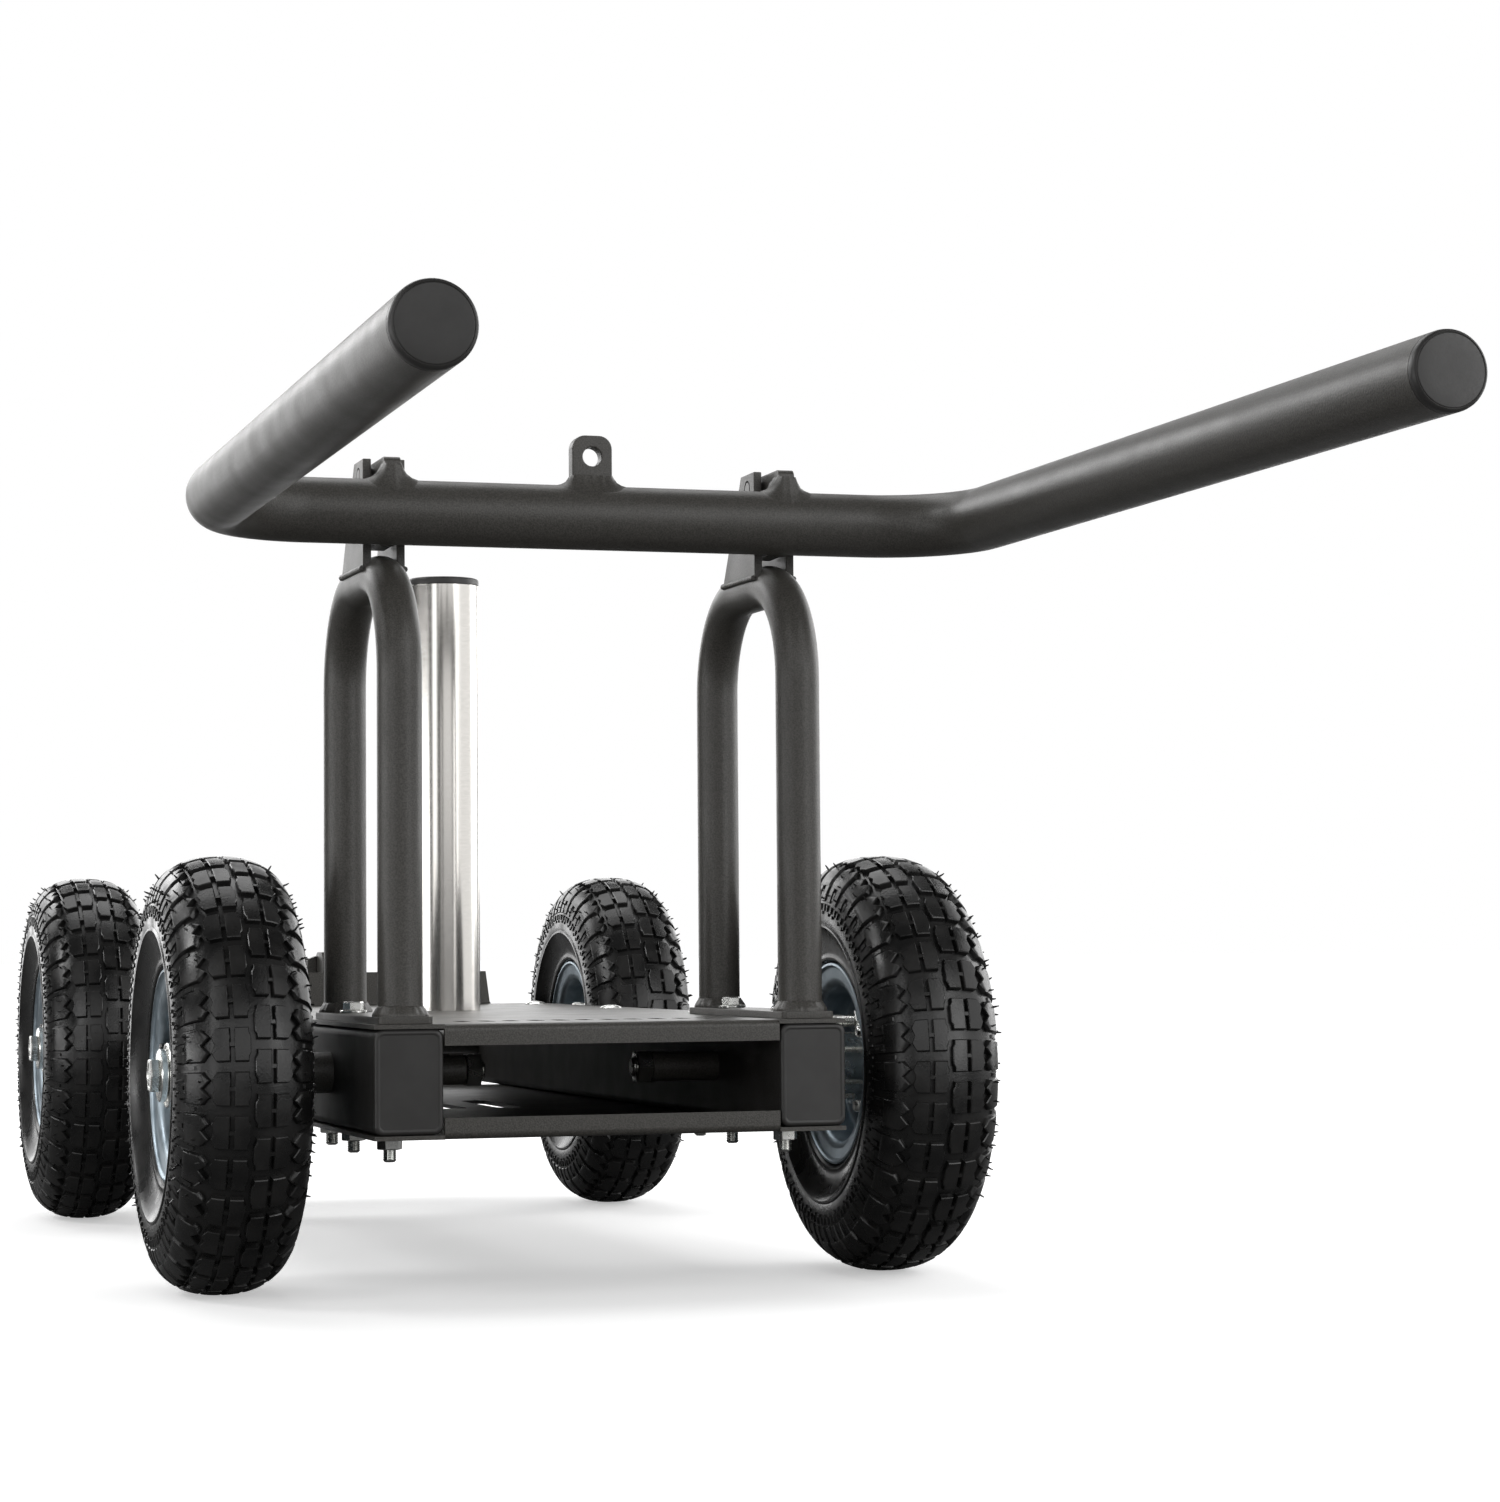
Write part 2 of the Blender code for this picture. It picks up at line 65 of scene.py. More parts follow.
# sizes in millimetres: corners are read from the frame, the rest is the stock's own
GAP = 0.3
RAIL_LOW, RAIL_HIGH = box_mm("right_rail")
SIDE_X = (RAIL_LOW.x + RAIL_HIGH.x) / 2
RAIL_W = RAIL_HIGH.x - RAIL_LOW.x
RAIL_Z = (RAIL_LOW.z + RAIL_HIGH.z) / 2
RAIL_H = RAIL_HIGH.z - RAIL_LOW.z
RAIL_WALL = 3.0
RAIL_R = 5.0
DECK_LOW, DECK_HIGH = box_mm("deck_plate")
SHEET_T = 2.5
SHEET_BEND = 4.0
UPSTAND_TOP_X = 96.6
DECK_Z = RAIL_HIGH.z + GAP
DECK_TOP_Z = DECK_Z + SHEET_T
BOTTOM_LOW, BOTTOM_HIGH = box_mm("bottom_plate")
LIP_X = 100.3
PIVOT = Vector(frame["joints"][0]["pos_m"]) / MM
HOOP_LOW, HOOP_HIGH = box_mm("hoop_right")
HOOP_R = 13.1
HOOP_WALL = 2.5
HOOP_BEND = 60.0
BASE_LOW, BASE_HIGH = box_mm("hoop_base_right")
PIN_HOLE_R = 5.25
LUG_HOLE_R = 5.2
BAR_LOW, BAR_HIGH = box_mm("handle_bar")
BAR_R = 19.1
BAR_WALL = 2.5
BAR_BEND = 60.0
BAR_Z = (BAR_LOW.z + BAR_HIGH.z) / 2
BAR_Y = BAR_HIGH.y - BAR_R
ARM_X = 230.0
ARM_END_X = 232.5
TAB_CORNER = 8.0
TAB_HOLE_R = 5.7
TAB_HOLE_Z = 495.3
POST_LOW, POST_HIGH = box_mm("weight_post")
POST_R = 25.0
POST_WALL = 2.0
POST_Y = (POST_LOW.y + POST_HIGH.y) / 2
WHEELS = {}
for where in ("front", "rear"):
    for side in SIDES:
        low, high = box_mm("tyre_" + where + "_" + side)
        WHEELS[where + "_" + side] = (low + high) / 2


# ---- materials

def material(name, color, roughness, metallic=0.0, specular=0.5):
    mat = bpy.data.materials.new(name)
    mat.use_nodes = True
    shader = mat.node_tree.nodes["Principled BSDF"]
    shader.inputs["Base Color"].default_value = (*color, 1.0)
    shader.inputs["Roughness"].default_value = roughness
    shader.inputs["Metallic"].default_value = metallic
    shader.inputs["Specular IOR Level"].default_value = specular
    return mat


def noise(mat, scale, detail=2.0, stretch=(1, 1, 1)):
    nodes = mat.node_tree.nodes
    links = mat.node_tree.links
    coords = nodes.new("ShaderNodeTexCoord")
    mapping = nodes.new("ShaderNodeMapping")
    mapping.inputs["Scale"].default_value = stretch
    texture = nodes.new("ShaderNodeTexNoise")
    texture.inputs["Scale"].default_value = scale
    texture.inputs["Detail"].default_value = detail
    links.new(coords.outputs["Object"], mapping.inputs["Vector"])
    links.new(mapping.outputs["Vector"], texture.inputs["Vector"])
    return texture


def add_bump(mat, texture, distance, strength=1.0):
    nodes = mat.node_tree.nodes
    links = mat.node_tree.links
    bump = nodes.new("ShaderNodeBump")
    bump.inputs["Distance"].default_value = distance
    bump.inputs["Strength"].default_value = strength
    links.new(texture.outputs["Fac"], bump.inputs["Height"])
    before = nodes["Principled BSDF"].inputs["Normal"]
    if before.is_linked:
        links.new(before.links[0].from_socket, bump.inputs["Normal"])
    links.new(bump.outputs["Normal"], before)


def add_range(mat, texture, socket, low, high, start=0.3, end=0.7):
    nodes = mat.node_tree.nodes
    links = mat.node_tree.links
    ramp = nodes.new("ShaderNodeMapRange")
    ramp.inputs["From Min"].default_value = start
    ramp.inputs["From Max"].default_value = end
    ramp.inputs["To Min"].default_value = low
    ramp.inputs["To Max"].default_value = high
    links.new(texture.outputs["Fac"], ramp.inputs["Value"])
    links.new(ramp.outputs["Result"], nodes["Principled BSDF"].inputs[socket])


def add_colors(mat, texture, first, second, start=0.35, end=0.65):
    nodes = mat.node_tree.nodes
    links = mat.node_tree.links
    ramp = nodes.new("ShaderNodeValToRGB")
    ramp.color_ramp.elements[0].position = start
    ramp.color_ramp.elements[0].color = (*first, 1.0)
    ramp.color_ramp.elements[1].position = end
    ramp.color_ramp.elements[1].color = (*second, 1.0)
    links.new(texture.outputs["Fac"], ramp.inputs["Fac"])
    links.new(ramp.outputs["Color"], nodes["Principled BSDF"].inputs["Base Color"])


def powder_coat(name, dark, light, roughness, specular):
    """Grey-black powder coat: a fine orange-peel grain in tone and relief."""
    mat = material(name, light, roughness, 0.0, specular)
    grain = noise(mat, 1100.0, 2.0)
    add_colors(mat, grain, dark, light)
    add_bump(mat, grain, 0.0002, 0.6)
    add_range(mat, noise(mat, 40.0), "Roughness", roughness - 0.03, roughness + 0.04)
    return mat


def cap_plastic():
    mat = material("cap_plastic_look", (0.03, 0.029, 0.028), 0.4)
    grain = noise(mat, 900.0, 3.0)
    add_colors(mat, noise(mat, 60.0), (0.024, 0.023, 0.022), (0.03, 0.029, 0.028))
    add_bump(mat, grain, 0.00004, 0.5)
    add_range(mat, grain, "Roughness", 0.36, 0.46)
    return mat


def rubber():
    mat = material("rubber_look", (0.012, 0.012, 0.012), 0.3)
    broad = noise(mat, 55.0, 4.0)
    add_colors(mat, broad, (0.007, 0.007, 0.007), (0.016, 0.0155, 0.015))
    add_range(mat, broad, "Roughness", 0.2, 0.38)
    add_bump(mat, noise(mat, 700.0, 3.0), 0.0002, 0.5)
    return mat


def plated(name, first, second, roughness):
    mat = material(name, first, roughness, 1.0)
    cloud = noise(mat, 90.0, 5.0)
    add_colors(mat, cloud, first, second)
    add_range(mat, cloud, "Roughness", roughness - 0.08, roughness + 0.1)
    add_bump(mat, noise(mat, 500.0, 3.0), 0.00004, 0.4)
    return mat


def brushed_post():
    mat = material("brushed_stainless_look", (0.62, 0.60, 0.57), 0.27, 1.0)
    lines = noise(mat, 260.0, 4.0, (1.0, 1.0, 8.0))
    add_colors(mat, lines, (0.60, 0.58, 0.55), (0.66, 0.64, 0.61))
    add_range(mat, lines, "Roughness", 0.16, 0.22)
    return mat


# each finish is a material with the name of its slot
COAT = (
    powder_coat("powder_coat_look", (0.040, 0.038, 0.034), (0.076, 0.072, 0.065), 0.4, 0.5),
    "powder_coat",
)
# painted shade: the rails and the cross tube wear a darker, less glossy copy of the same powder coat,
# standing in for the shade the wheels and the deck cast on them
RAIL_PAINTED_SHADE_COAT = (
    powder_coat("rail_coat_painted_shade_look", (0.016, 0.015, 0.014), (0.03, 0.028, 0.026), 0.52, 0.2),
    "powder_coat",
)
PLASTIC = (cap_plastic(), "cap_plastic")
RUBBER = (rubber(), "tyre_rubber")
RIM_ZINC = (plated("rim_zinc_look", (0.34, 0.41, 0.46), (0.46, 0.53, 0.58), 0.42), "rim_zinc")
BOLT_ZINC = (plated("bolt_zinc_look", (0.76, 0.77, 0.75), (0.86, 0.86, 0.83), 0.24), "bolt_zinc")
DARK_STEEL = (plated("dark_steel_look", (0.09, 0.09, 0.09), (0.14, 0.135, 0.13), 0.4), "pin_steel")
STAINLESS = (brushed_post(), "post_steel")


# ---- mesh tools

# a mesh with more faces than this, such as a tyre, keeps its plain smooth normals
HEAVY_MESH = 40000


def piece(name, bm, body, finish, stands_for=(), at=(0, 0, 0), sharp=32.0, bevel=0.0, cuts=()):
    """Make a millimetre bmesh into a finished piece that rides on a body."""
    mat, slot = finish
    obj = mesh_object(name, bm)
    obj.data.materials.append(mat)
    tools = []
    for index, cutter in enumerate(cuts):
        tool = mesh_object(name + "_cut", cutter)
        tools.append(tool)
        modifier = obj.modifiers.new("cut" + str(index), "BOOLEAN")
        modifier.operation = "DIFFERENCE"
        modifier.solver = "EXACT"
        modifier.object = tool
    if bevel:
        modifier = obj.modifiers.new("edges", "BEVEL")
        modifier.width = bevel * MM
        modifier.segments = 2
        modifier.limit_method = "ANGLE"
        modifier.angle_limit = math.radians(35)
        modifier.miter_outer = "MITER_ARC"
    if obj.modifiers:
        apply_modifiers(obj)
    for tool in tools:
        bpy.data.objects.remove(tool, do_unlink=True)
    obj.data.shade_smooth()
    obj.data.set_sharp_from_angle(angle=math.radians(sharp))
    if len(obj.data.polygons) < HEAVY_MESH:
        modifier = obj.modifiers.new("flat_faces", "WEIGHTED_NORMAL")
        modifier.keep_sharp = True
        apply_modifiers(obj)
    obj.location = Vector(at) * MM
    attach(obj, body)
    if stands_for:
        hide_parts(*stands_for)
    return obj


def apply_modifiers(obj):
    bpy.context.view_layer.update()
    graph = bpy.context.evaluated_depsgraph_get()
    final = bpy.data.meshes.new_from_object(obj.evaluated_get(graph))
    obj.modifiers.clear()
    obj.data = final


def mesh_object(name, bm):
    """Turn a millimetre bmesh into an object in metres, and free the bmesh."""
    bmesh.ops.recalc_face_normals(bm, faces=bm.faces)
    bmesh.ops.scale(bm, vec=(MM, MM, MM), verts=bm.verts)
    mesh = bpy.data.meshes.new(name)
    bm.to_mesh(mesh)
    bm.free()
    obj = bpy.data.objects.new(name, mesh)
    bpy.context.scene.collection.objects.link(obj)
    return obj


def loft(rings, loop=False, bm=None):
    """Bridge equal rings of points, with flat ends or closed on itself."""
    bm = bm or bmesh.new()
    loops = [[bm.verts.new(point) for point in ring] for ring in rings]
    count = len(loops[0])
    pairs = list(zip(loops, loops[1:]))
    if loop:
        pairs.append((loops[-1], loops[0]))
    for low, high in pairs:
        for i in range(count):
            j = (i + 1) % count
            bm.faces.new((low[i], low[j], high[j], high[i]))
    if not loop:
        bm.faces.new(list(reversed(loops[0])))
        bm.faces.new(loops[-1])
    return bm


def turned(profile, sides, axis="x", at=(0, 0, 0), loop=False, bm=None):
    """Turn a profile of (place, radius) or (place, across flats, "hex") about an axis."""
    rings = []
    for entry in profile:
        ring = []
        for i in range(sides):
            angle = TAU * i / sides
            radius = entry[1]
            if len(entry) == 3:
                radius = entry[1] / 2 / math.cos((angle % (TAU / 6)) - TAU / 12)
            u = radius * math.cos(angle)
            v = radius * math.sin(angle)
            point = {"x": (entry[0], u, v), "y": (v, entry[0], u), "z": (u, v, entry[0])}[axis]
            ring.append((point[0] + at[0], point[1] + at[1], point[2] + at[2]))
        rings.append(ring)
    return loft(rings, loop, bm)


def arc(cu, cv, radius, start, end, steps):
    """Points round (cu, cv) from the start angle to the end angle, in degrees."""
    points = []
    for step in range(steps + 1):
        angle = math.radians(start + (end - start) * step / steps)
        points.append((cu + radius * math.cos(angle), cv + radius * math.sin(angle)))
    return points


def rounded_rect(half_u, half_v, radius, steps=5):
    points = []
    for quarter, (su, sv) in enumerate(((1, 1), (-1, 1), (-1, -1), (1, -1))):
        centre = (su * (half_u - radius), sv * (half_v - radius))
        points += arc(centre[0], centre[1], radius, 90 * quarter, 90 * quarter + 90, steps)
    return points


def plate_x(outline, x0, x1):
    """A plate normal to X with an outline of (y, z) points."""
    return loft([[(x, y, z) for y, z in outline] for x in (x0, x1)])


def plate_y(outline, y0, y1):
    """A plate normal to Y with an outline of (x, z) points."""
    return loft([[(x, y, z) for x, z in outline] for y in (y0, y1)])


def box(low, high):
    x0, y0, z0 = low
    x1, y1, z1 = high
    ring = ((x0, y0), (x1, y0), (x1, y1), (x0, y1))
    return loft([[(x, y, z) for x, y in ring] for z in (z0, z1)])


def ring_round(point, u, v, radius, sides):
    """Points round a point, in the plane of the unit vectors u and v."""
    angles = [TAU * k / sides for k in range(sides)]
    return [point + (u * math.cos(angle) + v * math.sin(angle)) * radius for angle in angles]


def swept(path, radius, sides, side_axis, inner):
    """An open round tube along a path that lies in the plane square to side_axis."""
    last = len(path) - 1
    outside = []
    inside = []
    for i, point in enumerate(path):
        tangent = (path[min(i + 1, last)] - path[max(i - 1, 0)]).normalized()
        up = side_axis.cross(tangent).normalized()
        outside.append(ring_round(point, side_axis, up, radius, sides))
        inside.append(ring_round(point, side_axis, up, inner, sides))
    return loft(outside + inside[::-1], loop=True)


WELD_SIDES = 8


def weld(bm, path, radius, closed=True, pitch=3.2, seed=1):
    """A rippled weld bead laid along a path of points into bm."""
    rng = random.Random(seed)
    spans = list(zip(path, path[1:] + path[:1] if closed else path[1:]))
    points = []
    for start, end in spans:
        steps = max(1, round((end - start).length / (pitch / 4)))
        for step in range(steps):
            points.append(start.lerp(end, step / steps))
    if not closed:
        points.append(path[-1])
    rings = []
    count = len(points)
    for i, point in enumerate(points):
        ahead = points[(i + 1) % count] if closed or i < count - 1 else point
        behind = points[i - 1] if closed or i > 0 else point
        tangent = (ahead - behind).normalized()
        side = tangent.orthogonal().normalized()
        up = tangent.cross(side).normalized()
        if abs(tangent.z) < 0.9:
            side = Z_AXIS.cross(tangent).normalized()
            up = tangent.cross(side).normalized()
        ripple = 0.86 + 0.14 * abs(math.sin(math.pi * (i % 4) / 4)) + rng.uniform(-0.03, 0.03)
        rings.append(ring_round(point, side, up, radius * ripple, WELD_SIDES))
    loft(rings, loop=closed, bm=bm)


def foot_fillet(bm, centre, radius, flare, height, seed):
    """The flared, slightly uneven weld round the foot of a tube that stands on a plate."""
    rng = random.Random(seed)
    count = 72
    wobble = [rng.uniform(-0.35, 0.35) for _ in range(count)]
    ridge = [0.4 * abs(math.sin(math.pi * k / 4)) for k in range(count)]
    levels = ((0.0, 1.0), (0.16, 1.0), (0.36, 0.82), (0.6, 0.52), (0.82, 0.22), (1.0, 0.0))
    rings = []
    for rise, spread in levels:
        ring = []
        for k in range(count):
            angle = TAU * k / count
            r = radius + 0.1 + spread * (flare + wobble[k] + wobble[k - 1]) + ridge[k] * spread
            z = rise * height * (1 + 0.25 * wobble[k])
            ring.append(Vector(centre) + Vector((r * math.cos(angle), r * math.sin(angle), z)))
        rings.append(ring)
    for z in (height, 0.0):
        rings.append(ring_round(Vector(centre) + Z_AXIS * z, X_AXIS, Y_AXIS, radius - 1, count))
    loft(rings, loop=True, bm=bm)


def bar_fillet(bm, centre_x, around, half_x, half_s, height, reach, seed):
    """A weld fillet on the handle's cross tube round the foot of a plate.

    The foot is a rectangle laid on the tube: half_x along it and half_s round it, its middle at
    the angle around, which is 0 on top of the tube and grows toward the rear.
    """
    rng = random.Random(seed)
    foot = []
    outline = rounded_rect(half_x, half_s, min(2.0, half_x / 2))
    for (u0, v0), (u1, v1) in zip(outline, outline[1:] + outline[:1]):
        steps = max(1, round(math.dist((u0, v0), (u1, v1)) / 1.2))
        foot += [(u0 + (u1 - u0) * k / steps, v0 + (v1 - v0) * k / steps) for k in range(steps)]
    foot = [p for i, p in enumerate(foot) if math.dist(p, foot[i - 1]) > 0.01]
    section = ((0.0, -1.2), (0.0, 1.0), (0.14, 0.7), (0.36, 0.34), (0.66, 0.12), (1.0, 0.0))
    section += ((1.0, -0.3),)
    rings = []
    count = len(foot)
    for i, (u, v) in enumerate(foot):
        du = foot[(i + 1) % count][0] - foot[i - 1][0]
        dv = foot[(i + 1) % count][1] - foot[i - 1][1]
        size = math.hypot(du, dv)
        scale = 1 + 0.05 * math.sin(i * 1.3) + rng.uniform(-0.04, 0.04)
        ring = []
        for out, up in section:
            x = u + dv / size * reach * out * scale
            s = v - du / size * reach * out * scale
            angle = math.radians(around) + s / BAR_R
            lift = BAR_R + (up * height * scale if up > 0 else up)
            y = BAR_Y + lift * math.sin(angle)
            ring.append(Vector((centre_x + x, y, BAR_Z + lift * math.cos(angle))))
        rings.append(ring)
    loft(rings, loop=True, bm=bm)


# ---- frame: rails and sheets

def rail_tube(name, node, along, low, high, middle):
    """A rectangular tube with rounded corners and open ends, along "x" or "y"."""
    outer = rounded_rect(RAIL_W / 2, RAIL_H / 2, RAIL_R)
    inner = rounded_rect(RAIL_W / 2 - RAIL_WALL, RAIL_H / 2 - RAIL_WALL, RAIL_R - 2.5)
    rings = []
    for place, outline in ((low, outer), (high, outer), (high, inner), (low, inner)):
        if along == "y":
            rings.append([(middle + u, place, RAIL_Z + v) for u, v in outline])
        else:
            rings.append([(place, middle + u, RAIL_Z + v) for u, v in outline])
    # painted shade: the rail tubes take the darker copy of the frame's powder coat
    piece(name, loft(rings, loop=True), "frame", RAIL_PAINTED_SHADE_COAT, (node,))


def build_rails():
    for side, sign in SIDES.items():
        low, high = box_mm(side + "_rail")
        rail_tube(side + "_rail_tube", side + "_rail", "y", low.y, high.y, sign * SIDE_X)
        front = "rail_cap_front_" + side
        build_rail_cap(front, sign * SIDE_X, box_mm(front)[0].y, 1.0)
        rear = "rail_cap_rear_" + side
        build_rail_cap(rear, sign * SIDE_X, box_mm(rear)[1].y, -1.0)
    low, high = box_mm("rear_cross_tube")
    rail_tube("cross_tube", "rear_cross_tube", "x", low.x, high.x, (low.y + high.y) / 2)
    bm = bmesh.new()
    y0, y1 = low.y + 1, high.y - 1
    z0, z1 = RAIL_LOW.z + 1, RAIL_HIGH.z - 1
    for sign in SIDES.values():
        x = sign * (LIP_X + 0.4)
        path = [Vector((x, y0, z0)), Vector((x, y1, z0)), Vector((x, y1, z1)), Vector((x, y0, z1))]
        weld(bm, path, 2.4)
    piece("cross_tube_welds", bm, "frame", COAT)


def build_rail_cap(node, x, face_y, inward):
    """A moulded cap: rounded rim, a shallow recessed field and the ribbed plug behind it."""
    half_u, half_v = RAIL_W / 2, RAIL_H / 2
    plug_u, plug_v = half_u - RAIL_WALL - GAP, half_v - RAIL_WALL - GAP
    steps = (
        (0.35, half_u - 3.4, half_v - 3.4, 2.6), (0.35, half_u - 3.0, half_v - 3.0, 3.0),
        (0.0, half_u - 2.6, half_v - 2.6, 3.2), (0.0, half_u - 1.6, half_v - 1.6, RAIL_R - 1.2),
        (0.45, half_u - 0.6, half_v - 0.6, RAIL_R - 0.5), (1.5, half_u, half_v, RAIL_R),
        (4.0, half_u, half_v, RAIL_R), (4.2, plug_u, plug_v, 3.0), (7.0, plug_u, plug_v, 3.0),
        (7.0, plug_u - 1, plug_v - 1, 2.5), (9.0, plug_u - 1, plug_v - 1, 2.5),
        (9.0, plug_u, plug_v, 3.0), (12.0, plug_u, plug_v, 3.0),
        (20.0, plug_u - 1, plug_v - 1, 2.5),
    )
    rings = []
    for depth, u, v, radius in steps:
        outline = rounded_rect(u, v, radius)
        rings.append([(x + a, face_y + inward * depth, RAIL_Z + b) for a, b in outline])
    piece(node + "_moulding", loft(rings), "frame", PLASTIC, (node,), sharp=50)


def bent_sheet(name, node, middle, flat_z, y0, y1, cuts, top_half_x=None):
    """Two flat side strips and the folded middle, which meet edge to edge in one sheet."""
    rings = []
    for x in (-LIP_X, LIP_X):
        ring = []
        for y, z in middle:
            reach = x
            if top_half_x and z > flat_z + SHEET_T + 1:
                share = (z - flat_z) / (DECK_HIGH.z - flat_z)
                reach = math.copysign(LIP_X + (top_half_x - LIP_X) * share, x)
            ring.append((reach, y, z))
        rings.append(ring)
    piece(name, loft(rings), "frame", COAT, (node,), cuts=cuts)
    for side, sign in SIDES.items():
        inner, outer = sorted((sign * LIP_X, sign * RAIL_HIGH.x))
        strip = box((inner, y0, flat_z), (outer, y1, flat_z + SHEET_T))
        piece(name + "_edge_" + side, strip, "frame", COAT)


# rows of round-ended slots: middles, width, length and end radius
SLOT_COUNT = 11
SLOT_PITCH = 15.0
DECK_SLOTS_AT = [((index - (SLOT_COUNT - 1) / 2) * SLOT_PITCH, -110.0) for index in range(SLOT_COUNT)]
DECK_SLOT = (8.0, 24.0, 3.99)
FLOOR_SLOTS_AT = [(-18.5, 212.0), (18.5, 212.0)]
FLOOR_SLOT = (17.0, 120.0, 8.4)


def slot_cutters(places, size, low, high):
    """The cutter for a row of slots, from the height low to the height high."""
    width, length, radius = size
    outline = rounded_rect(width / 2, length / 2, radius)
    bm = bmesh.new()
    for x, y in places:
        loft([[(x + u, y + v, z) for u, v in outline] for z in (low, high)], bm=bm)
    return bm


def build_sheets():
    y0, y1 = DECK_LOW.y, DECK_HIGH.y
    bend = SHEET_BEND
    inner = bend - SHEET_T
    top = DECK_TOP_Z
    middle = [(y0, DECK_LOW.z)] + arc(y0 + bend, top - bend, bend, 180, 90, 6)
    middle += [(y1 - bend, top)] + arc(y1 - bend, top + inner, inner, 270, 360, 4)
    middle += [(y1 - SHEET_T, DECK_HIGH.z), (y1, DECK_HIGH.z)]
    middle += arc(y1 - bend, DECK_Z + bend, bend, 360, 270, 6)
    middle += arc(y0 + bend, top - bend, inner, 90, 180, 4) + [(y0 + SHEET_T, DECK_LOW.z)]
    cuts = [slot_cutters(DECK_SLOTS_AT, DECK_SLOT, top - 6, top + 6)]
    bent_sheet("deck_sheet", "deck_plate", middle, DECK_Z, y0, y1, cuts, UPSTAND_TOP_X)

    low, high = BOTTOM_LOW.z, BOTTOM_LOW.z + SHEET_T
    middle = [(y0, BOTTOM_HIGH.z), (y0 + SHEET_T, BOTTOM_HIGH.z)]
    middle += arc(y0 + bend, low + bend, inner, 180, 270, 4) + [(y1, high), (y1, low)]
    middle += arc(y0 + bend, low + bend, bend, 270, 180, 6)
    cuts = [slot_cutters(FLOOR_SLOTS_AT, FLOOR_SLOT, low - 6, low + 9)]
    bent_sheet("bottom_sheet", "bottom_plate", middle, low, y0, y1, cuts)


def build_tow_eye():
    base = RAIL_HIGH.z + GAP
    back = box_mm("rear_tow_eye")[1].y
    outline = [(698, base), (734, base), (back - 1, 165)] + arc(back - 6, 172, 6, -50, 0, 4)
    outline += arc(back - 5, 184, 5, 0, 60, 4) + arc(724, 198, 4, 62, 90, 3)
    outline += [(704, 202), (698, 194)]
    hole = turned(((-9, 6.0), (9, 6.0)), 32, at=(0, 736, 180))
    eye = plate_x(outline, -5, 5)
    piece("tow_eye", eye, "frame", COAT, ("rear_tow_eye",), bevel=0.8, cuts=[hole])
    for side, sign in SIDES.items():
        near, far = sign * 5.2, sign * 13.0
        outline = [(near, base), (far, base), (far, 196), (near, 199)]
        wing = plate_y(outline, 724, 734)
        piece("tow_eye_wing_" + side, wing, "frame", COAT, bevel=0.8)
    bm = bmesh.new()
    z = base + 0.8
    for sign in SIDES.values():
        weld(bm, [Vector((sign * 5.6, 699, z)), Vector((sign * 5.6, 723, z))], 2.6, closed=False)
    piece("tow_eye_welds", bm, "frame", COAT)


# ---- hoops and their fasteners

def hoop_path(foot_z):
    y0, y1 = HOOP_LOW.y + HOOP_R, HOOP_HIGH.y - HOOP_R
    z = HOOP_HIGH.z - HOOP_R - HOOP_BEND
    path = [(y0, foot_z), (y0, foot_z + 2)]
    path += arc(y0 + HOOP_BEND, z, HOOP_BEND, 180, 90, 20)
    path += arc(y1 - HOOP_BEND, z, HOOP_BEND, 90, 0, 20)
    path += [(y1, foot_z + 2), (y1, foot_z)]
    return path


DECK_SCREW_Y = (54.0, 273.0, 492.0)


def build_hoops():
    foot_z = BASE_HIGH.z
    for side, sign in SIDES.items():
        x = sign * SIDE_X
        path = [Vector((x, y, z)) for y, z in hoop_path(foot_z)]
        bm = swept(path, HOOP_R, 40, X_AXIS, HOOP_R - HOOP_WALL)
        piece("hoop_tube_" + side, bm, "frame", COAT, ("hoop_" + side,), sharp=50)
        bm = bmesh.new()
        for y in (HOOP_LOW.y + HOOP_R, HOOP_HIGH.y - HOOP_R):
            foot_fillet(bm, (x, y, foot_z), HOOP_R, 2.6, 6.0, int(y))
        piece("hoop_welds_" + side, bm, "frame", COAT, sharp=60)
        outline = rounded_rect(16.0, (BASE_HIGH.y - BASE_LOW.y) / 2, 3.0)
        y = (BASE_LOW.y + BASE_HIGH.y) / 2
        rings = []
        for z in (DECK_TOP_Z, BASE_HIGH.z):
            rings.append([(x + u, y + v, z) for u, v in outline])
        node = "hoop_base_" + side
        piece(node + "_plate", loft(rings), "frame", COAT, (node,), bevel=0.5)
        for end in ("front", "rear"):
            node = "hoop_bolt_" + side + "_" + end
            low, high = box_mm(node)
            build_screw(node, (low + high) / 2, low.z)
        for index, y in enumerate(DECK_SCREW_Y):
            name = "deck_screw_" + side + "_" + str(index)
            build_deck_screw(name, x, y)


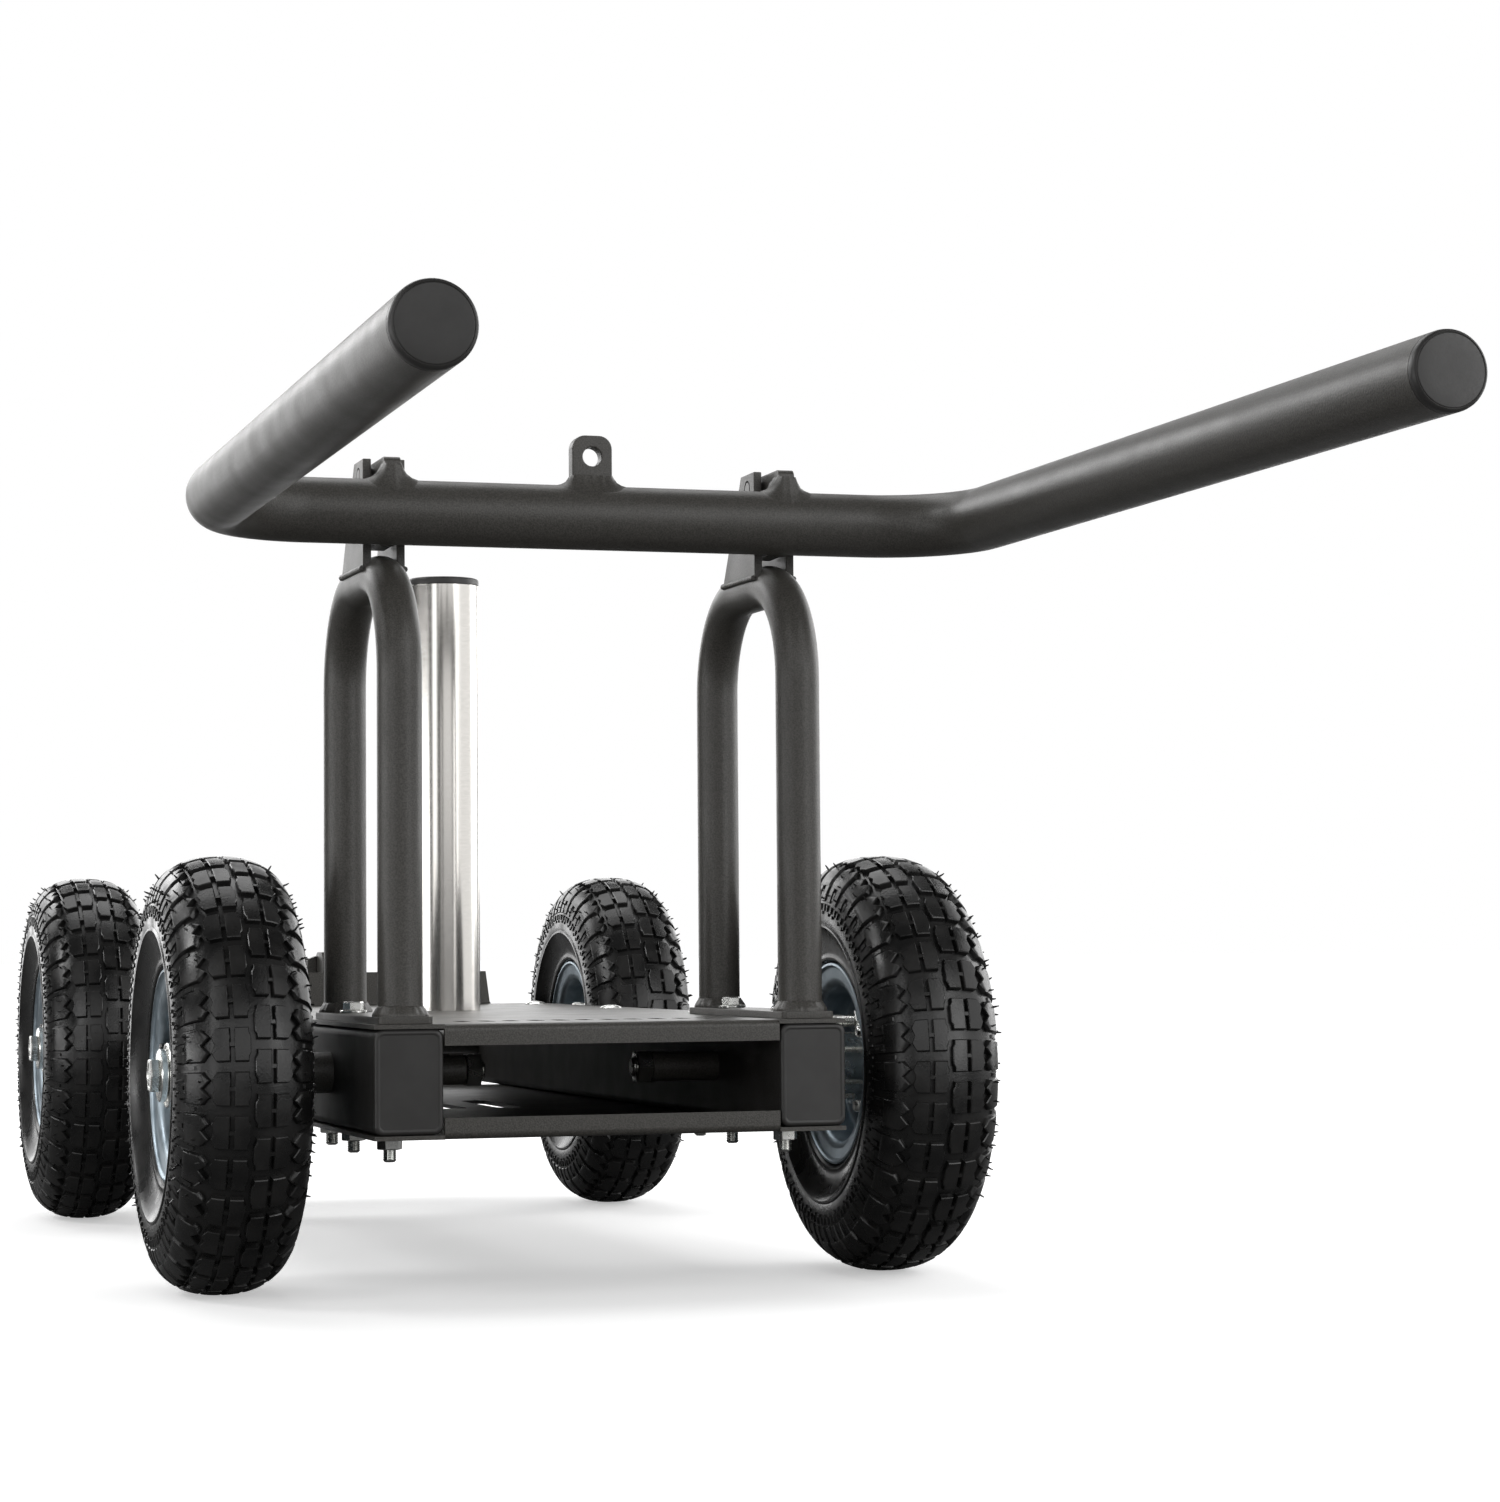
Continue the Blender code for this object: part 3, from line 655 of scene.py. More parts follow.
def build_screw(node, at, end_z):
    """A hex screw with its washer on top, and the nut, washer and thread end underneath."""
    middle = (at.x, at.y, 0)
    bm = bmesh.new()
    top = BASE_HIGH.z
    washer = (
        (top, 4.4), (top, 8.0), (top + 0.3, 8.3), (top + 1.3, 8.3), (top + 1.6, 8.0),
        (top + 1.6, 4.4),
    )
    turned(washer, 36, "z", middle, True, bm)
    head = (
        (top - 3, 3.9), (top + 1.7, 3.9), (top + 1.7, 10.4, "hex"), (top + 2.1, 11.0, "hex"),
        (top + 6.2, 11.0, "hex"), (top + 6.8, 10.0, "hex"), (top + 6.8, 4.0), (top + 6.5, 3.6),
    )
    turned(head, 36, "z", middle, False, bm)
    low = BOTTOM_LOW.z
    washer = ((low, 4.4), (low, 8.0), (low - 1.5, 8.0), (low - 1.5, 4.4))
    turned(washer, 36, "z", middle, True, bm)
    turned(nut_profile(low - 1.6, 11.6), 36, "z", middle, True, bm)
    turned(thread_profile(low + 2, end_z), 24, "z", middle, bm=bm)
    piece(node + "_set", bm, "frame", BOLT_ZINC, (node,), sharp=25)


def build_deck_screw(name, x, y):
    """A low domed screw through the deck, with its nut under the bottom plate."""
    low = BOTTOM_LOW.z
    bm = bmesh.new()
    dome = (
        (DECK_TOP_Z - 2, 4.0), (DECK_TOP_Z, 4.0), (DECK_TOP_Z, 7.6), (DECK_TOP_Z + 0.5, 7.6),
        (DECK_TOP_Z + 1.4, 6.4), (DECK_TOP_Z + 2.1, 4.2), (DECK_TOP_Z + 2.4, 1.6),
    )
    turned(dome, 36, "z", (x, y, 0), bm=bm)
    turned(nut_profile(low - 0.1, 11.8), 36, "z", (x, y, 0), True, bm)
    turned(thread_profile(low + 2, low - 14.0), 24, "z", (x, y, 0), bm=bm)
    piece(name, bm, "frame", BOLT_ZINC, sharp=25)


def nut_profile(top, corner):
    """An M8 nut that hangs down from a height top, with its corners turned down to corner."""
    low = top - 6.3
    return (
        (top, 3.9), (top, corner, "hex"), (top - 0.5, 13.0, "hex"), (low + 0.5, 13.0, "hex"),
        (low, corner, "hex"), (low, 3.9),
    )


def ridges(place, stop, root, crest, pitch):
    """The ridges of a thread that runs down from a place until a stop."""
    profile = []
    while place > stop:
        profile += [(place, root), (place - pitch / 2, crest)]
        place -= pitch
    return profile


def thread_profile(start, end):
    """The profile of an M8 thread that runs down from start to end."""
    profile = [(start, 3.4)] + ridges(start - 0.8, end + 1.1, 3.4, 3.98, 1.1)
    return profile + [(end + 0.6, 3.4), (end, 2.584)]


def pivot_hole(x0, x1, radius):
    """The cutter for the pivot pin's hole through a plate from x0 to x1."""
    return turned(((x0 - 2, radius), (x1 + 2, radius)), 32, at=(0, PIVOT.y, PIVOT.z))


def build_pivots():
    ear_foot = HOOP_HIGH.z - 9.0
    for side, sign in SIDES.items():
        x = sign * SIDE_X
        for where in ("outer", "inner"):
            node = "ear_" + side + "_" + where
            low, high = box_mm(node)
            front, rear, top = low.y, high.y, high.z
            outline = [(front, ear_foot), (rear + 3, ear_foot), (-78.5, 484.0), (-84.0, top)]
            outline += [(front, top)]
            hole = pivot_hole(low.x, high.x, PIN_HOLE_R)
            ear = plate_x(outline, low.x, high.x)
            name = node + "_plate"
            piece(name, ear, "frame", COAT, (node,), bevel=0.6, cuts=[hole])
        node = "pivot_pin_" + side
        low, high = box_mm(node)
        pin = (
            (low.x, 3.0), (low.x, 4.3), (low.x + 0.6, 4.9), (high.x - 0.6, 4.9), (high.x, 4.3),
            (high.x, 3.0),
        )
        bm = turned(pin, 36, at=(0, PIVOT.y, PIVOT.z))
        piece(node + "_rod", bm, "frame", DARK_STEEL, (node,))
        bm = bmesh.new()
        for shift in (-1, 1):
            face = x + shift * 12.9
            path = [Vector((face, -110, ear_foot)), Vector((face, -46, ear_foot + 0.5))]
            weld(bm, path, 1.9, closed=False, seed=3)
        piece("ear_welds_" + side, bm, "frame", COAT, sharp=60)


# ---- handle

def build_handle():
    arm_end = BAR_LOW.y
    half = arc(ARM_X - BAR_BEND, BAR_Y - BAR_BEND, BAR_BEND, 90, 0, 24)
    route = [(-u, v) for u, v in reversed(half)] + half
    route = [(-ARM_END_X, arm_end)] + route + [(ARM_END_X, arm_end)]
    path = [Vector((u, v, BAR_Z)) for u, v in route]
    bm = swept(path, BAR_R, 64, Z_AXIS, BAR_R - BAR_WALL)
    piece("handle_tube", bm, "handle", COAT, ("handle_bar",), sharp=50)
    for side, sign in SIDES.items():
        node = "handle_plug_" + side
        y = box_mm(node)[0].y
        inside = BAR_R - BAR_WALL - 0.4
        plug = (
            (y + 0.2, 4.0), (y + 0.2, 10.0), (y + 0.35, 16.6), (y + 0.8, 17.1), (y + 0.5, 17.6),
            (y + 0.9, 18.4), (y + 1.8, 18.9), (y + 3.2, BAR_R), (y + 5.4, BAR_R),
            (y + 5.8, inside), (y + 12, inside), (y + 24, inside - 0.8),
        )
        bm = turned(plug, 64, "y", (sign * ARM_END_X, 0, BAR_Z))
        piece(node + "_moulding", bm, "handle", PLASTIC, (node,), sharp=50)
        build_lug(side, sign)
    build_eye_tab()


def build_lug(side, sign):
    x = sign * SIDE_X
    node = "lug_" + side
    low, high = box_mm(node)
    outline = arc(BAR_Y, BAR_Z, BAR_R + 0.05, 109, -66, 24)
    outline += [(-90.0, low.z)] + arc(-88.0, low.z + 4, 4, 270, 360, 4)
    outline += arc(-88.0, high.z - 4, 4, 0, 90, 4) + arc(-132.0, high.z - 5, 5, 90, 160, 4)
    hole = pivot_hole(low.x, high.x, LUG_HOLE_R)
    bm = plate_x(outline, low.x, high.x)
    piece(node + "_plate", bm, "handle", COAT, (node,), bevel=0.8, cuts=[hole])
    bm = bmesh.new()
    half_x = (high.x - low.x) / 2 - 0.2
    bar_fillet(bm, x, 14.0, half_x, math.radians(36) * BAR_R, 10.0, 10.5, 5)
    bar_fillet(bm, x, 66.0, half_x, math.radians(86) * BAR_R, 2.2, 2.2, 8)
    piece("lug_weld_" + side, bm, "handle", COAT, sharp=60)


def build_eye_tab():
    low, high = box_mm("eye_tab")
    half = (high.x - low.x) / 2
    base = BAR_Z + BAR_R - 0.8
    outline = [(half, base)] + arc(half - TAB_CORNER, high.z - TAB_CORNER, TAB_CORNER, 0, 90, 8)
    outline += arc(TAB_CORNER - half, high.z - TAB_CORNER, TAB_CORNER, 90, 180, 8)
    outline.append((-half, base))
    hole = turned(((low.y - 2, TAB_HOLE_R), (high.y + 2, TAB_HOLE_R)), 40, "y", (0, 0, TAB_HOLE_Z))
    bm = plate_y(outline, low.y, high.y)
    piece("eye_tab_plate", bm, "handle", COAT, ("eye_tab",), bevel=1.0, cuts=[hole])
    bm = bmesh.new()
    bar_fillet(bm, 0.0, 0.0, half - 0.2, (high.y - low.y) / 2 - 0.2, 6.5, 8.5, 6)
    piece("eye_tab_weld", bm, "handle", COAT, sharp=60)


# ---- post

def build_post():
    top = POST_HIGH.z
    inner = POST_R - POST_WALL
    profile = (
        (DECK_TOP_Z + 0.1, POST_R), (top - 0.4, POST_R), (top, POST_R - 0.4), (top, inner),
        (DECK_TOP_Z + 0.1, inner),
    )
    bm = turned(profile, 96, "z", (0, POST_Y, 0), loop=True)
    piece("post_tube", bm, "frame", STAINLESS, ("weight_post",), sharp=50)
    z = box_mm("post_cap")[1].z
    profile = (
        (top - 18, inner - 1), (top - 2, inner - 0.3), (top + 0.1, inner - 0.3),
        (top + 0.1, POST_R - 0.1), (z - 1.6, POST_R), (z - 0.5, POST_R - 0.6), (z, POST_R - 2),
        (z, POST_R - 5), (z - 0.4, POST_R - 5.6), (z - 0.4, 3.0),
    )
    bm = turned(profile, 96, "z", (0, POST_Y, 0))
    piece("post_cap_moulding", bm, "frame", PLASTIC, ("post_cap",), sharp=50)


# ---- wheels

WHEEL_R = 130.0
SHOULDER_R = 93.0
HALF_W = 40.5
SECTION_POWER = 2.4
PITCHES = 32
PITCH = 360.0 / PITCHES
GROOVE = 3.2
HAIR_SIDES = 5


def envelope(phi, depth):
    """A point (x, radius) of the tyre's outside: phi is 0 at its outer side and 90 at the crown."""
    angle = math.radians(phi)
    c, s = math.cos(angle), math.sin(angle)
    x = (HALF_W - depth) * math.copysign(abs(c) ** (2 / SECTION_POWER), c)
    r = SHOULDER_R + (WHEEL_R - SHOULDER_R - depth) * abs(s) ** (2 / SECTION_POWER)
    return x, r


def phi_at(x):
    """The angle round the section at a distance x from the tyre's middle plane."""
    share = (abs(x) / HALF_W) ** (SECTION_POWER / 2)
    phi = math.degrees(math.acos(min(1.0, share)))
    return phi if x >= 0 else 180.0 - phi


def groove_depth(phi):
    """How deep the grooves are: full round the crown, shallower down the sides."""
    from_crown = abs(phi - 90.0)
    if from_crown < 38:
        return GROOVE
    return max(1.2, GROOVE - (GROOVE - 1.2) * (from_crown - 38) / 40)


def on_tyre(phi, theta, depth):
    """A point at a depth under the outside, at theta round the wheel."""
    x, r = envelope(phi, depth)
    angle = math.radians(theta)
    return Vector((x, r * math.cos(angle), r * math.sin(angle)))


def carcass_profile():
    """The closed (x, radius) section of the rubber under the tread blocks."""
    outer = []
    for step in range(27):
        phi = 90.0 - 3.0 * step
        outer.append(envelope(phi, groove_depth(phi)))
    outer += [(39.2, 99.0), (39.7, 95.0), (39.8, 91.0), (39.4, 88.0), (40.2, 87.2), (40.2, 86.0)]
    outer += [(39.2, 85.2), (37.0, 82.0), (34.9, 78.0), (33.3, 74.0), (32.4, 70.0), (32.2, 67.4)]
    outer += [(32.6, 66.4), (32.2, 65.2), (30.6, 64.2), (28.8, 63.6), (27.6, 62.0), (27.0, 52.2)]
    inner = [(22.0, 51.6), (22.6, 62.0), (29.0, 76.0), (33.6, 92.0), (31.0, 108.0), (20.0, 119.0)]
    half = outer + inner
    return half + [(0.0, 121.5)] + [(-x, r) for x, r in reversed(half[1:])]


def block(bm, outline, depth, columns, rows, bottom=None, edge=0.45):
    """One rubber block: outline(u, v) gives (phi, theta), and its rim is softened."""
    def ring_points(margin, level):
        points = []
        for i in range(columns):
            points.append((i / columns, 0.0))
        for j in range(rows):
            points.append((1.0, j / rows))
        for i in range(columns):
            points.append((1.0 - i / columns, 1.0))
        for j in range(rows):
            points.append((0.0, 1.0 - j / rows))
        made = []
        for u, v in points:
            su = 0.5 + (u - 0.5) * (1 + margin)
            sv = 0.5 + (v - 0.5) * (1 + margin)
            phi, theta = outline(su, sv)
            made.append(bm.verts.new(on_tyre(phi, theta, level(phi))))
        return made

    grid = []
    for i in range(columns + 1):
        line = []
        for j in range(rows + 1):
            su = 0.5 + (i / columns - 0.5) * 0.9
            sv = 0.5 + (j / rows - 0.5) * 0.94
            phi, theta = outline(su, sv)
            line.append(bm.verts.new(on_tyre(phi, theta, depth)))
        grid.append(line)
    for i in range(columns):
        for j in range(rows):
            bm.faces.new((grid[i][j], grid[i][j + 1], grid[i + 1][j + 1], grid[i + 1][j]))
    top = [grid[i][0] for i in range(columns)] + [grid[columns][j] for j in range(rows)]
    top += [grid[columns - i][rows] for i in range(columns)]
    top += [grid[0][rows - j] for j in range(rows)]
    rim = ring_points(0.0, lambda phi: depth + edge)
    low = ring_points(0.05, lambda phi: (bottom or groove_depth(phi)) + 0.6)
    for upper, lower in ((top, rim), (rim, low)):
        for k in range(len(upper)):
            n = (k + 1) % len(upper)
            bm.faces.new((upper[k], upper[n], lower[n], lower[k]))
    bm.faces.new(low)


def crown_patch(x0, x1, theta0, theta1, first=None, last=None):
    """An outline between two distances from the tyre's middle plane; its edges may zigzag."""
    def outline(u, v):
        a = x0 + (first(v) if first else 0.0)
        b = x1 + (last(v) if last else 0.0)
        return phi_at(a + (b - a) * u), theta0 + (theta1 - theta0) * v
    return outline


def teeth(size, count, phase):
    """A zigzag edge."""
    def wave(v):
        return size * (2 * abs(((v * count + phase) % 1.0) - 0.5) - 0.5)
    return wave


def corners(size):
    """Pull an edge back at both ends, like a chamfered corner."""
    def shape(v):
        return size * max(0.0, abs(v - 0.5) - 0.22) / 0.28
    return shape


def stepped(size):
    """Step an edge back near both ends."""
    def shape(v):
        return size if abs(v - 0.5) > 0.3 else 0.0
    return shape


def serrated(size):
    """Two small points between cut-off corners."""
    points = teeth(size, 2, 0.5)
    ends = corners(-0.5 * size)

    def shape(v):
        return points(v) + ends(v)
    return shape


def tread(bm):
    """Two staggered rings of blocks, each an outer and an inner half with a tie between."""
    length = PITCH * 0.76
    for index in range(PITCHES):
        for row, mirror in ((0, 1.0), (1, -1.0)):
            t0 = index * PITCH + row * PITCH / 2
            t1 = t0 + length
            edge = serrated(1.8 * mirror)
            outer = crown_patch(22.6 * mirror, 13.3 * mirror, t0, t1, edge)
            edge = stepped(1.2 * mirror)
            inner = crown_patch(10.5 * mirror, 1.2 * mirror, t0, t1, None, edge)
            block(bm, outer, 0.0, 2, 8)
            block(bm, inner, 0.0, 2, 8)
            middle = (t0 + t1) / 2
            tie = crown_patch(14.0 * mirror, 9.8 * mirror, middle - 0.5, middle + 0.5)
            block(bm, tie, 0.5, 1, 1)
            shoulder(bm, t0, t1, mirror)
            side_marks(bm, t0, mirror)


def side_patch(mirror, phi0, phi1, theta0, theta1, first=None):
    """An outline between two angles on the tyre's outer side, or mirrored to its inner side."""
    if mirror < 0:
        phi0, phi1 = 180.0 - phi0, 180.0 - phi1

    def outline(u, v):
        a = phi0 + (first(v) if first else 0.0)
        return a + (phi1 - a) * u, theta0 + (theta1 - theta0) * v
    return outline


def shoulder(bm, t0, t1, mirror):
    """The chunky edge lug, with two ridges that run on down the sidewall."""
    width = t1 - t0
    block(bm, side_patch(mirror, 52.5, 27.0, t0, t1, teeth(8.0 * mirror, 2, 0.5)), 0.1, 5, 8)
    block(bm, side_patch(mirror, 27.5, 11.0, t0, t0 + width * 0.32), 0.5, 3, 2)
    block(bm, side_patch(mirror, 27.5, 11.0, t1 - width * 0.32, t1), 0.5, 3, 2)
    gap0 = t1 + PITCH * 0.07
    gap1 = t0 + PITCH * 0.93
    block(bm, side_patch(mirror, 40.0, 20.0, gap0, gap1), 1.6, 3, 1)
    middle = (t0 + t1) / 2
    block(bm, side_patch(mirror, 23.0, 14.0, middle - 0.7, middle + 0.7), 0.9, 2, 1)


def side_marks(bm, t0, mirror):
    """Short ribs and small nubs between the lugs and the smooth ring."""
    for shift in (0.12, 0.5, 0.86):
        t = t0 + PITCH * shift
        block(bm, side_patch(mirror, 9.0, 3.4, t - 0.35, t + 0.35), 0.15, 2, 1, bottom=0.9, edge=0.25)
    for shift in (0.3, 0.7):
        t = t0 + PITCH * shift
        block(bm, side_patch(mirror, 3.0, 0.9, t - 0.5, t + 0.5), 0.0, 1, 1, bottom=0.9, edge=0.3)


def whiskers(bm, rng):
    """The thin vent hairs that the mould leaves, on the lugs' edges and sidewalls."""
    for index in range(PITCHES * 2):
        for low, high in ((10.0, 20.0), (20.0, 34.0), (36.0, 52.0), (128.0, 153.0), (158.0, 170.0)):
            if rng.random() < 0.2:
                continue
            phi = rng.uniform(low, high)
            theta = (index + rng.random() * 0.5) * PITCH / 2
            base = on_tyre(phi, theta, 1.0)
            outward = (on_tyre(phi, theta, 0.0) - on_tyre(phi, theta, 6.0)).normalized()
            if base.z < 0.6 * -WHEEL_R:
                continue
            lean = Vector([rng.uniform(-0.5, 0.5) for _ in range(3)])
            side_share = min(1.0, abs(outward.x) * 1.4)
            reach = rng.uniform(4.5, 9.0) * (1.0 - 0.6 * side_share)
            tip = base + (outward + lean * 0.6).normalized() * (reach + 1.0)
            tip.x = max(-HALF_W, min(HALF_W, tip.x))
            middle = base.lerp(tip, 0.6) + lean * 0.4
            side = outward.orthogonal().normalized()
            up = outward.cross(side)
            rings = []
            for point, radius in ((base, 0.8), (middle, 0.55), (tip, 0.3)):
                rings.append(ring_round(point, side, up, radius, HAIR_SIDES))
            loft(rings, bm=bm)


def rim_profile(way):
    """A pressed rim half: middle disc, dished step, bead seat and rolled flange."""
    outside = [(0.2, 20.2), (0.2, 40.0), (1.2, 43.0), (3.4, 46.5), (5.6, 49.2), (8.0, 50.3)]
    outside += [(24.0, 50.3), (26.0, 51.2), (27.0, 54.0), (27.6, 60.0), (28.6, 62.4)]
    outside += [(30.0, 63.2), (31.4, 62.8), (31.6, 61.4)]
    inside = [(30.4, 60.9), (29.6, 59.4), (29.2, 54.0), (28.0, 50.2), (25.0, 48.2), (9.0, 48.2)]
    inside += [(7.2, 47.2), (5.2, 44.8), (3.4, 41.6), (2.4, 38.6), (2.4, 27.0), (3.6, 25.0)]
    inside += [(5.0, 22.5), (5.2, 20.2)]
    return [(way * x, r) for x, r in outside + inside]


def build_wheel(name, centre):
    body = "wheel_" + name
    turn = 0.0 if centre.x > 0 else 180.0
    rng = random.Random(sum(ord(letter) for letter in name))
    bm = turned(carcass_profile(), 160, loop=True)
    tread(bm)
    whiskers(bm, rng)
    spin(bm, rng.uniform(0, PITCH), turn)
    piece("tyre_" + name + "_tread", bm, body, RUBBER, ("tyre_" + name,), centre, 38)
    for place, way in (("outer", 1.0), ("inner", -1.0)):
        node = "rim_" + place + "_" + name
        bm = turned(rim_profile(way), 112, loop=True)
        spin(bm, 0, turn)
        piece(node + "_pressing", bm, body, RIM_ZINC, (node,), centre, 40)
    build_rim_bolts(name, body, centre, turn)
    build_hub(name, body, centre, turn)
    build_valve(name, body, centre, turn)
    build_axle(name, centre, turn)


def spin(bm, about_x, about_z):
    """Turn a wheel piece round its axle, then end for end so that its outer side faces out."""
    rotation = Matrix.Rotation(math.radians(about_z), 4, "Z")
    rotation = rotation @ Matrix.Rotation(math.radians(about_x), 4, "X")
    bmesh.ops.transform(bm, matrix=rotation, verts=bm.verts)


RIM_BOLTS = 4
RIM_BOLT_CIRCLE = 33.0


def build_rim_bolts(name, body, centre, turn):
    bm = bmesh.new()
    first = 52 if centre.x > 0 else 0
    for index in range(RIM_BOLTS):
        angle = math.radians(360 / RIM_BOLTS * index + first)
        at = (0, RIM_BOLT_CIRCLE * math.cos(angle), RIM_BOLT_CIRCLE * math.sin(angle))
        head = (
            (2.0, 3.9), (2.5, 8.0), (4.0, 8.0), (4.1, 12.0, "hex"), (4.6, 13.0, "hex"),
            (9.0, 13.0, "hex"), (9.5, 12.0, "hex"), (9.4, 4.5),
        )
        turned(head, 36, at=at, bm=bm)
        nut = (
            (-2.5, 3.9), (-2.5, 8.0), (-4.0, 8.0), (-4.1, 12.0, "hex"), (-4.6, 13.0, "hex"),
            (-9.8, 13.0, "hex"), (-10.3, 12.0, "hex"), (-10.3, 3.9),
        )
        turned(nut, 36, at=at, loop=True, bm=bm)
        thread = [(-1.0, 3.4)] + ridges(-2.0, -22.0, 3.4, 3.98, 1.1)
        thread += [(-23.4, 3.4), (-24.0, 2.6)]
        turned(thread, 24, at=at, bm=bm)
    spin(bm, 0, turn)
    piece("rim_bolts_" + name, bm, body, BOLT_ZINC, (), centre, 25)


def build_hub(name, body, centre, turn):
    """The hub tube and, at both ends, the face, balls' shield and inner ring of its bearing."""
    half = 30.5
    bm = bmesh.new()
    tube = (
        (-half, 17.6), (-half, 18.9), (-half + 0.6, 19.4), (half - 0.6, 19.4), (half, 18.9),
        (half, 17.6),
    )
    turned(tube, 72, loop=True, bm=bm)
    for way in (-1.0, 1.0):
        ring = (
            (half - 11.0, 9.3), (half - 11.0, 17.55), (half - 0.8, 17.55), (half - 0.5, 17.2),
            (half - 0.5, 15.4), (half - 1.2, 15.0), (half - 1.2, 12.4), (half - 0.5, 12.0),
            (half - 0.2, 11.6), (half - 0.2, 9.3),
        )
        turned([(way * x, r) for x, r in ring], 72, loop=True, bm=bm)
    for way in (-1.0, 1.0):
        ring = ring_round(X_AXIS * way * 5.2, Y_AXIS, Z_AXIS, 20.4, 48)
        weld(bm, ring, 1.8, pitch=3.0)
    spin(bm, 0, turn)
    piece("hub_" + name + "_barrel", bm, body, BOLT_ZINC, ("hub_" + name,), centre, 30)


def build_valve(name, body, centre, turn):
    bm = bmesh.new()
    stem = (
        (6.0, 5.5), (8.0, 5.2), (9.5, 4.0), (16.0, 3.9), (16.5, 3.1), (22.0, 3.0), (22.2, 3.9),
        (22.6, 4.3), (28.0, 4.3), (29.0, 3.6), (29.2, 2.0),
    )
    turned(stem, 28, at=(0, -37.5, 14.0), bm=bm)
    spin(bm, 0, turn)
    piece("valve_" + name, bm, body, RUBBER, (), centre, 30)


def build_axle(name, centre, turn):
    """The axle screw with its washers and spacer; it stays with the frame."""
    bm = bmesh.new()
    head = (
        (30.7, 9.0), (30.9, 15.3), (31.4, 15.7), (34.4, 15.7), (35.0, 15.0), (35.1, 12.0),
        (35.2, 17.8, "hex"), (35.7, 19.0, "hex"), (39.9, 19.0, "hex"), (40.6, 17.4, "hex"),
        (40.6, 7.5), (40.2, 7.0),
    )
    turned(head, 48, bm=bm)
    turned(((31.0, 9.0), (-31.0, 9.0)), 36, bm=bm)
    out = RAIL_HIGH.x - abs(centre.x)
    inner = 58.8 - abs(centre.x)
    sleeve = bmesh.new()
    collar = ((-30.9, 11.9), (-31.3, 12.3), (out + 0.1, 12.3), (out - 1.0, 9.0), (inner + 0.5, 9.0))
    turned(collar + ((inner, 8.5),), 48, bm=sleeve)
    spin(sleeve, 0, turn)
    piece("axle_sleeve_" + name, sleeve, "frame", COAT, (), centre, 28)
    spin(bm, 0, turn)
    node = "axle_bolt_" + name
    piece(node + "_set", bm, "frame", BOLT_ZINC, (node,), centre, 28)
    bm = bmesh.new()
    nut = (
        (inner - 0.3, 6.1), (inner - 0.3, 17.8, "hex"), (inner - 0.9, 19.0, "hex"),
        (inner - 9.0, 19.0, "hex"), (inner - 9.6, 17.6, "hex"), (inner - 9.9, 8.2),
        (inner - 10.0, 6.1),
    )
    turned(nut, 48, loop=True, bm=bm)
    end = 46.5 - abs(centre.x)
    thread = [(inner + 1, 5.4)] + ridges(inner, end + 1.4, 5.4, 5.95, 1.2)
    thread += [(end + 0.5, 5.2), (end, 4.6)]
    turned(thread, 30, bm=bm)
    spin(bm, 0, turn)
    node = "axle_nut_" + name
    piece(node + "_set", bm, "frame", BOLT_ZINC, (node,), centre, 25)


# ---- floor, light and camera

FLOOR_REACH = 60000.0
FLOOR_BOUNCE = 0.16


def stage_floor():
    """A white floor that glows with distance, for the camera only, and bounces little light."""
    bm = bmesh.new()
    bmesh.ops.create_grid(bm, x_segments=2, y_segments=2, size=FLOOR_REACH)
    floor = mesh_object("studio_floor", bm)
    mat = material("studio_white", (0.9, 0.9, 0.9), 0.9, 0.0, 0.1)
    floor.data.materials.append(mat)
    nodes = mat.node_tree.nodes
    links = mat.node_tree.links
    coords = nodes.new("ShaderNodeTexCoord")
    distance = nodes.new("ShaderNodeVectorMath")
    distance.operation = "LENGTH"
    glow = nodes.new("ShaderNodeMapRange")
    glow.inputs["From Min"].default_value = 1.2
    glow.inputs["From Max"].default_value = 5.0
    glow.inputs["To Min"].default_value = 0.42
    glow.inputs["To Max"].default_value = 1.0
    rays = nodes.new("ShaderNodeLightPath")
    seen = nodes.new("ShaderNodeMath")
    seen.operation = "MULTIPLY"
    links.new(coords.outputs["Object"], distance.inputs[0])
    links.new(distance.outputs["Value"], glow.inputs["Value"])
    links.new(glow.outputs["Result"], seen.inputs[0])
    links.new(rays.outputs["Is Camera Ray"], seen.inputs[1])
    tone = nodes.new("ShaderNodeValToRGB")
    tone.color_ramp.elements[0].color = (FLOOR_BOUNCE, FLOOR_BOUNCE, FLOOR_BOUNCE, 1.0)
    tone.color_ramp.elements[1].color = (0.9, 0.9, 0.9, 1.0)
    links.new(rays.outputs["Is Camera Ray"], tone.inputs["Fac"])
    shader = nodes["Principled BSDF"]
    shader.inputs["Emission Color"].default_value = (1.0, 1.0, 1.0, 1.0)
    links.new(seen.outputs["Value"], shader.inputs["Emission Strength"])
    links.new(tone.outputs["Color"], shader.inputs["Base Color"])


def area_light(name, at, target, size, power):
    light = bpy.data.lights.new(name, "AREA")
    light.shape = "RECTANGLE"
    light.size, light.size_y = size
    light.energy = power
    obj = bpy.data.objects.new(name, light)
    obj.location = at
    direction = Vector(target) - Vector(at)
    obj.rotation_euler = direction.to_track_quat("-Z", "Y").to_euler()
    obj.visible_camera = False
    bpy.context.scene.collection.objects.link(obj)


WORLD_LIGHT = 0.12


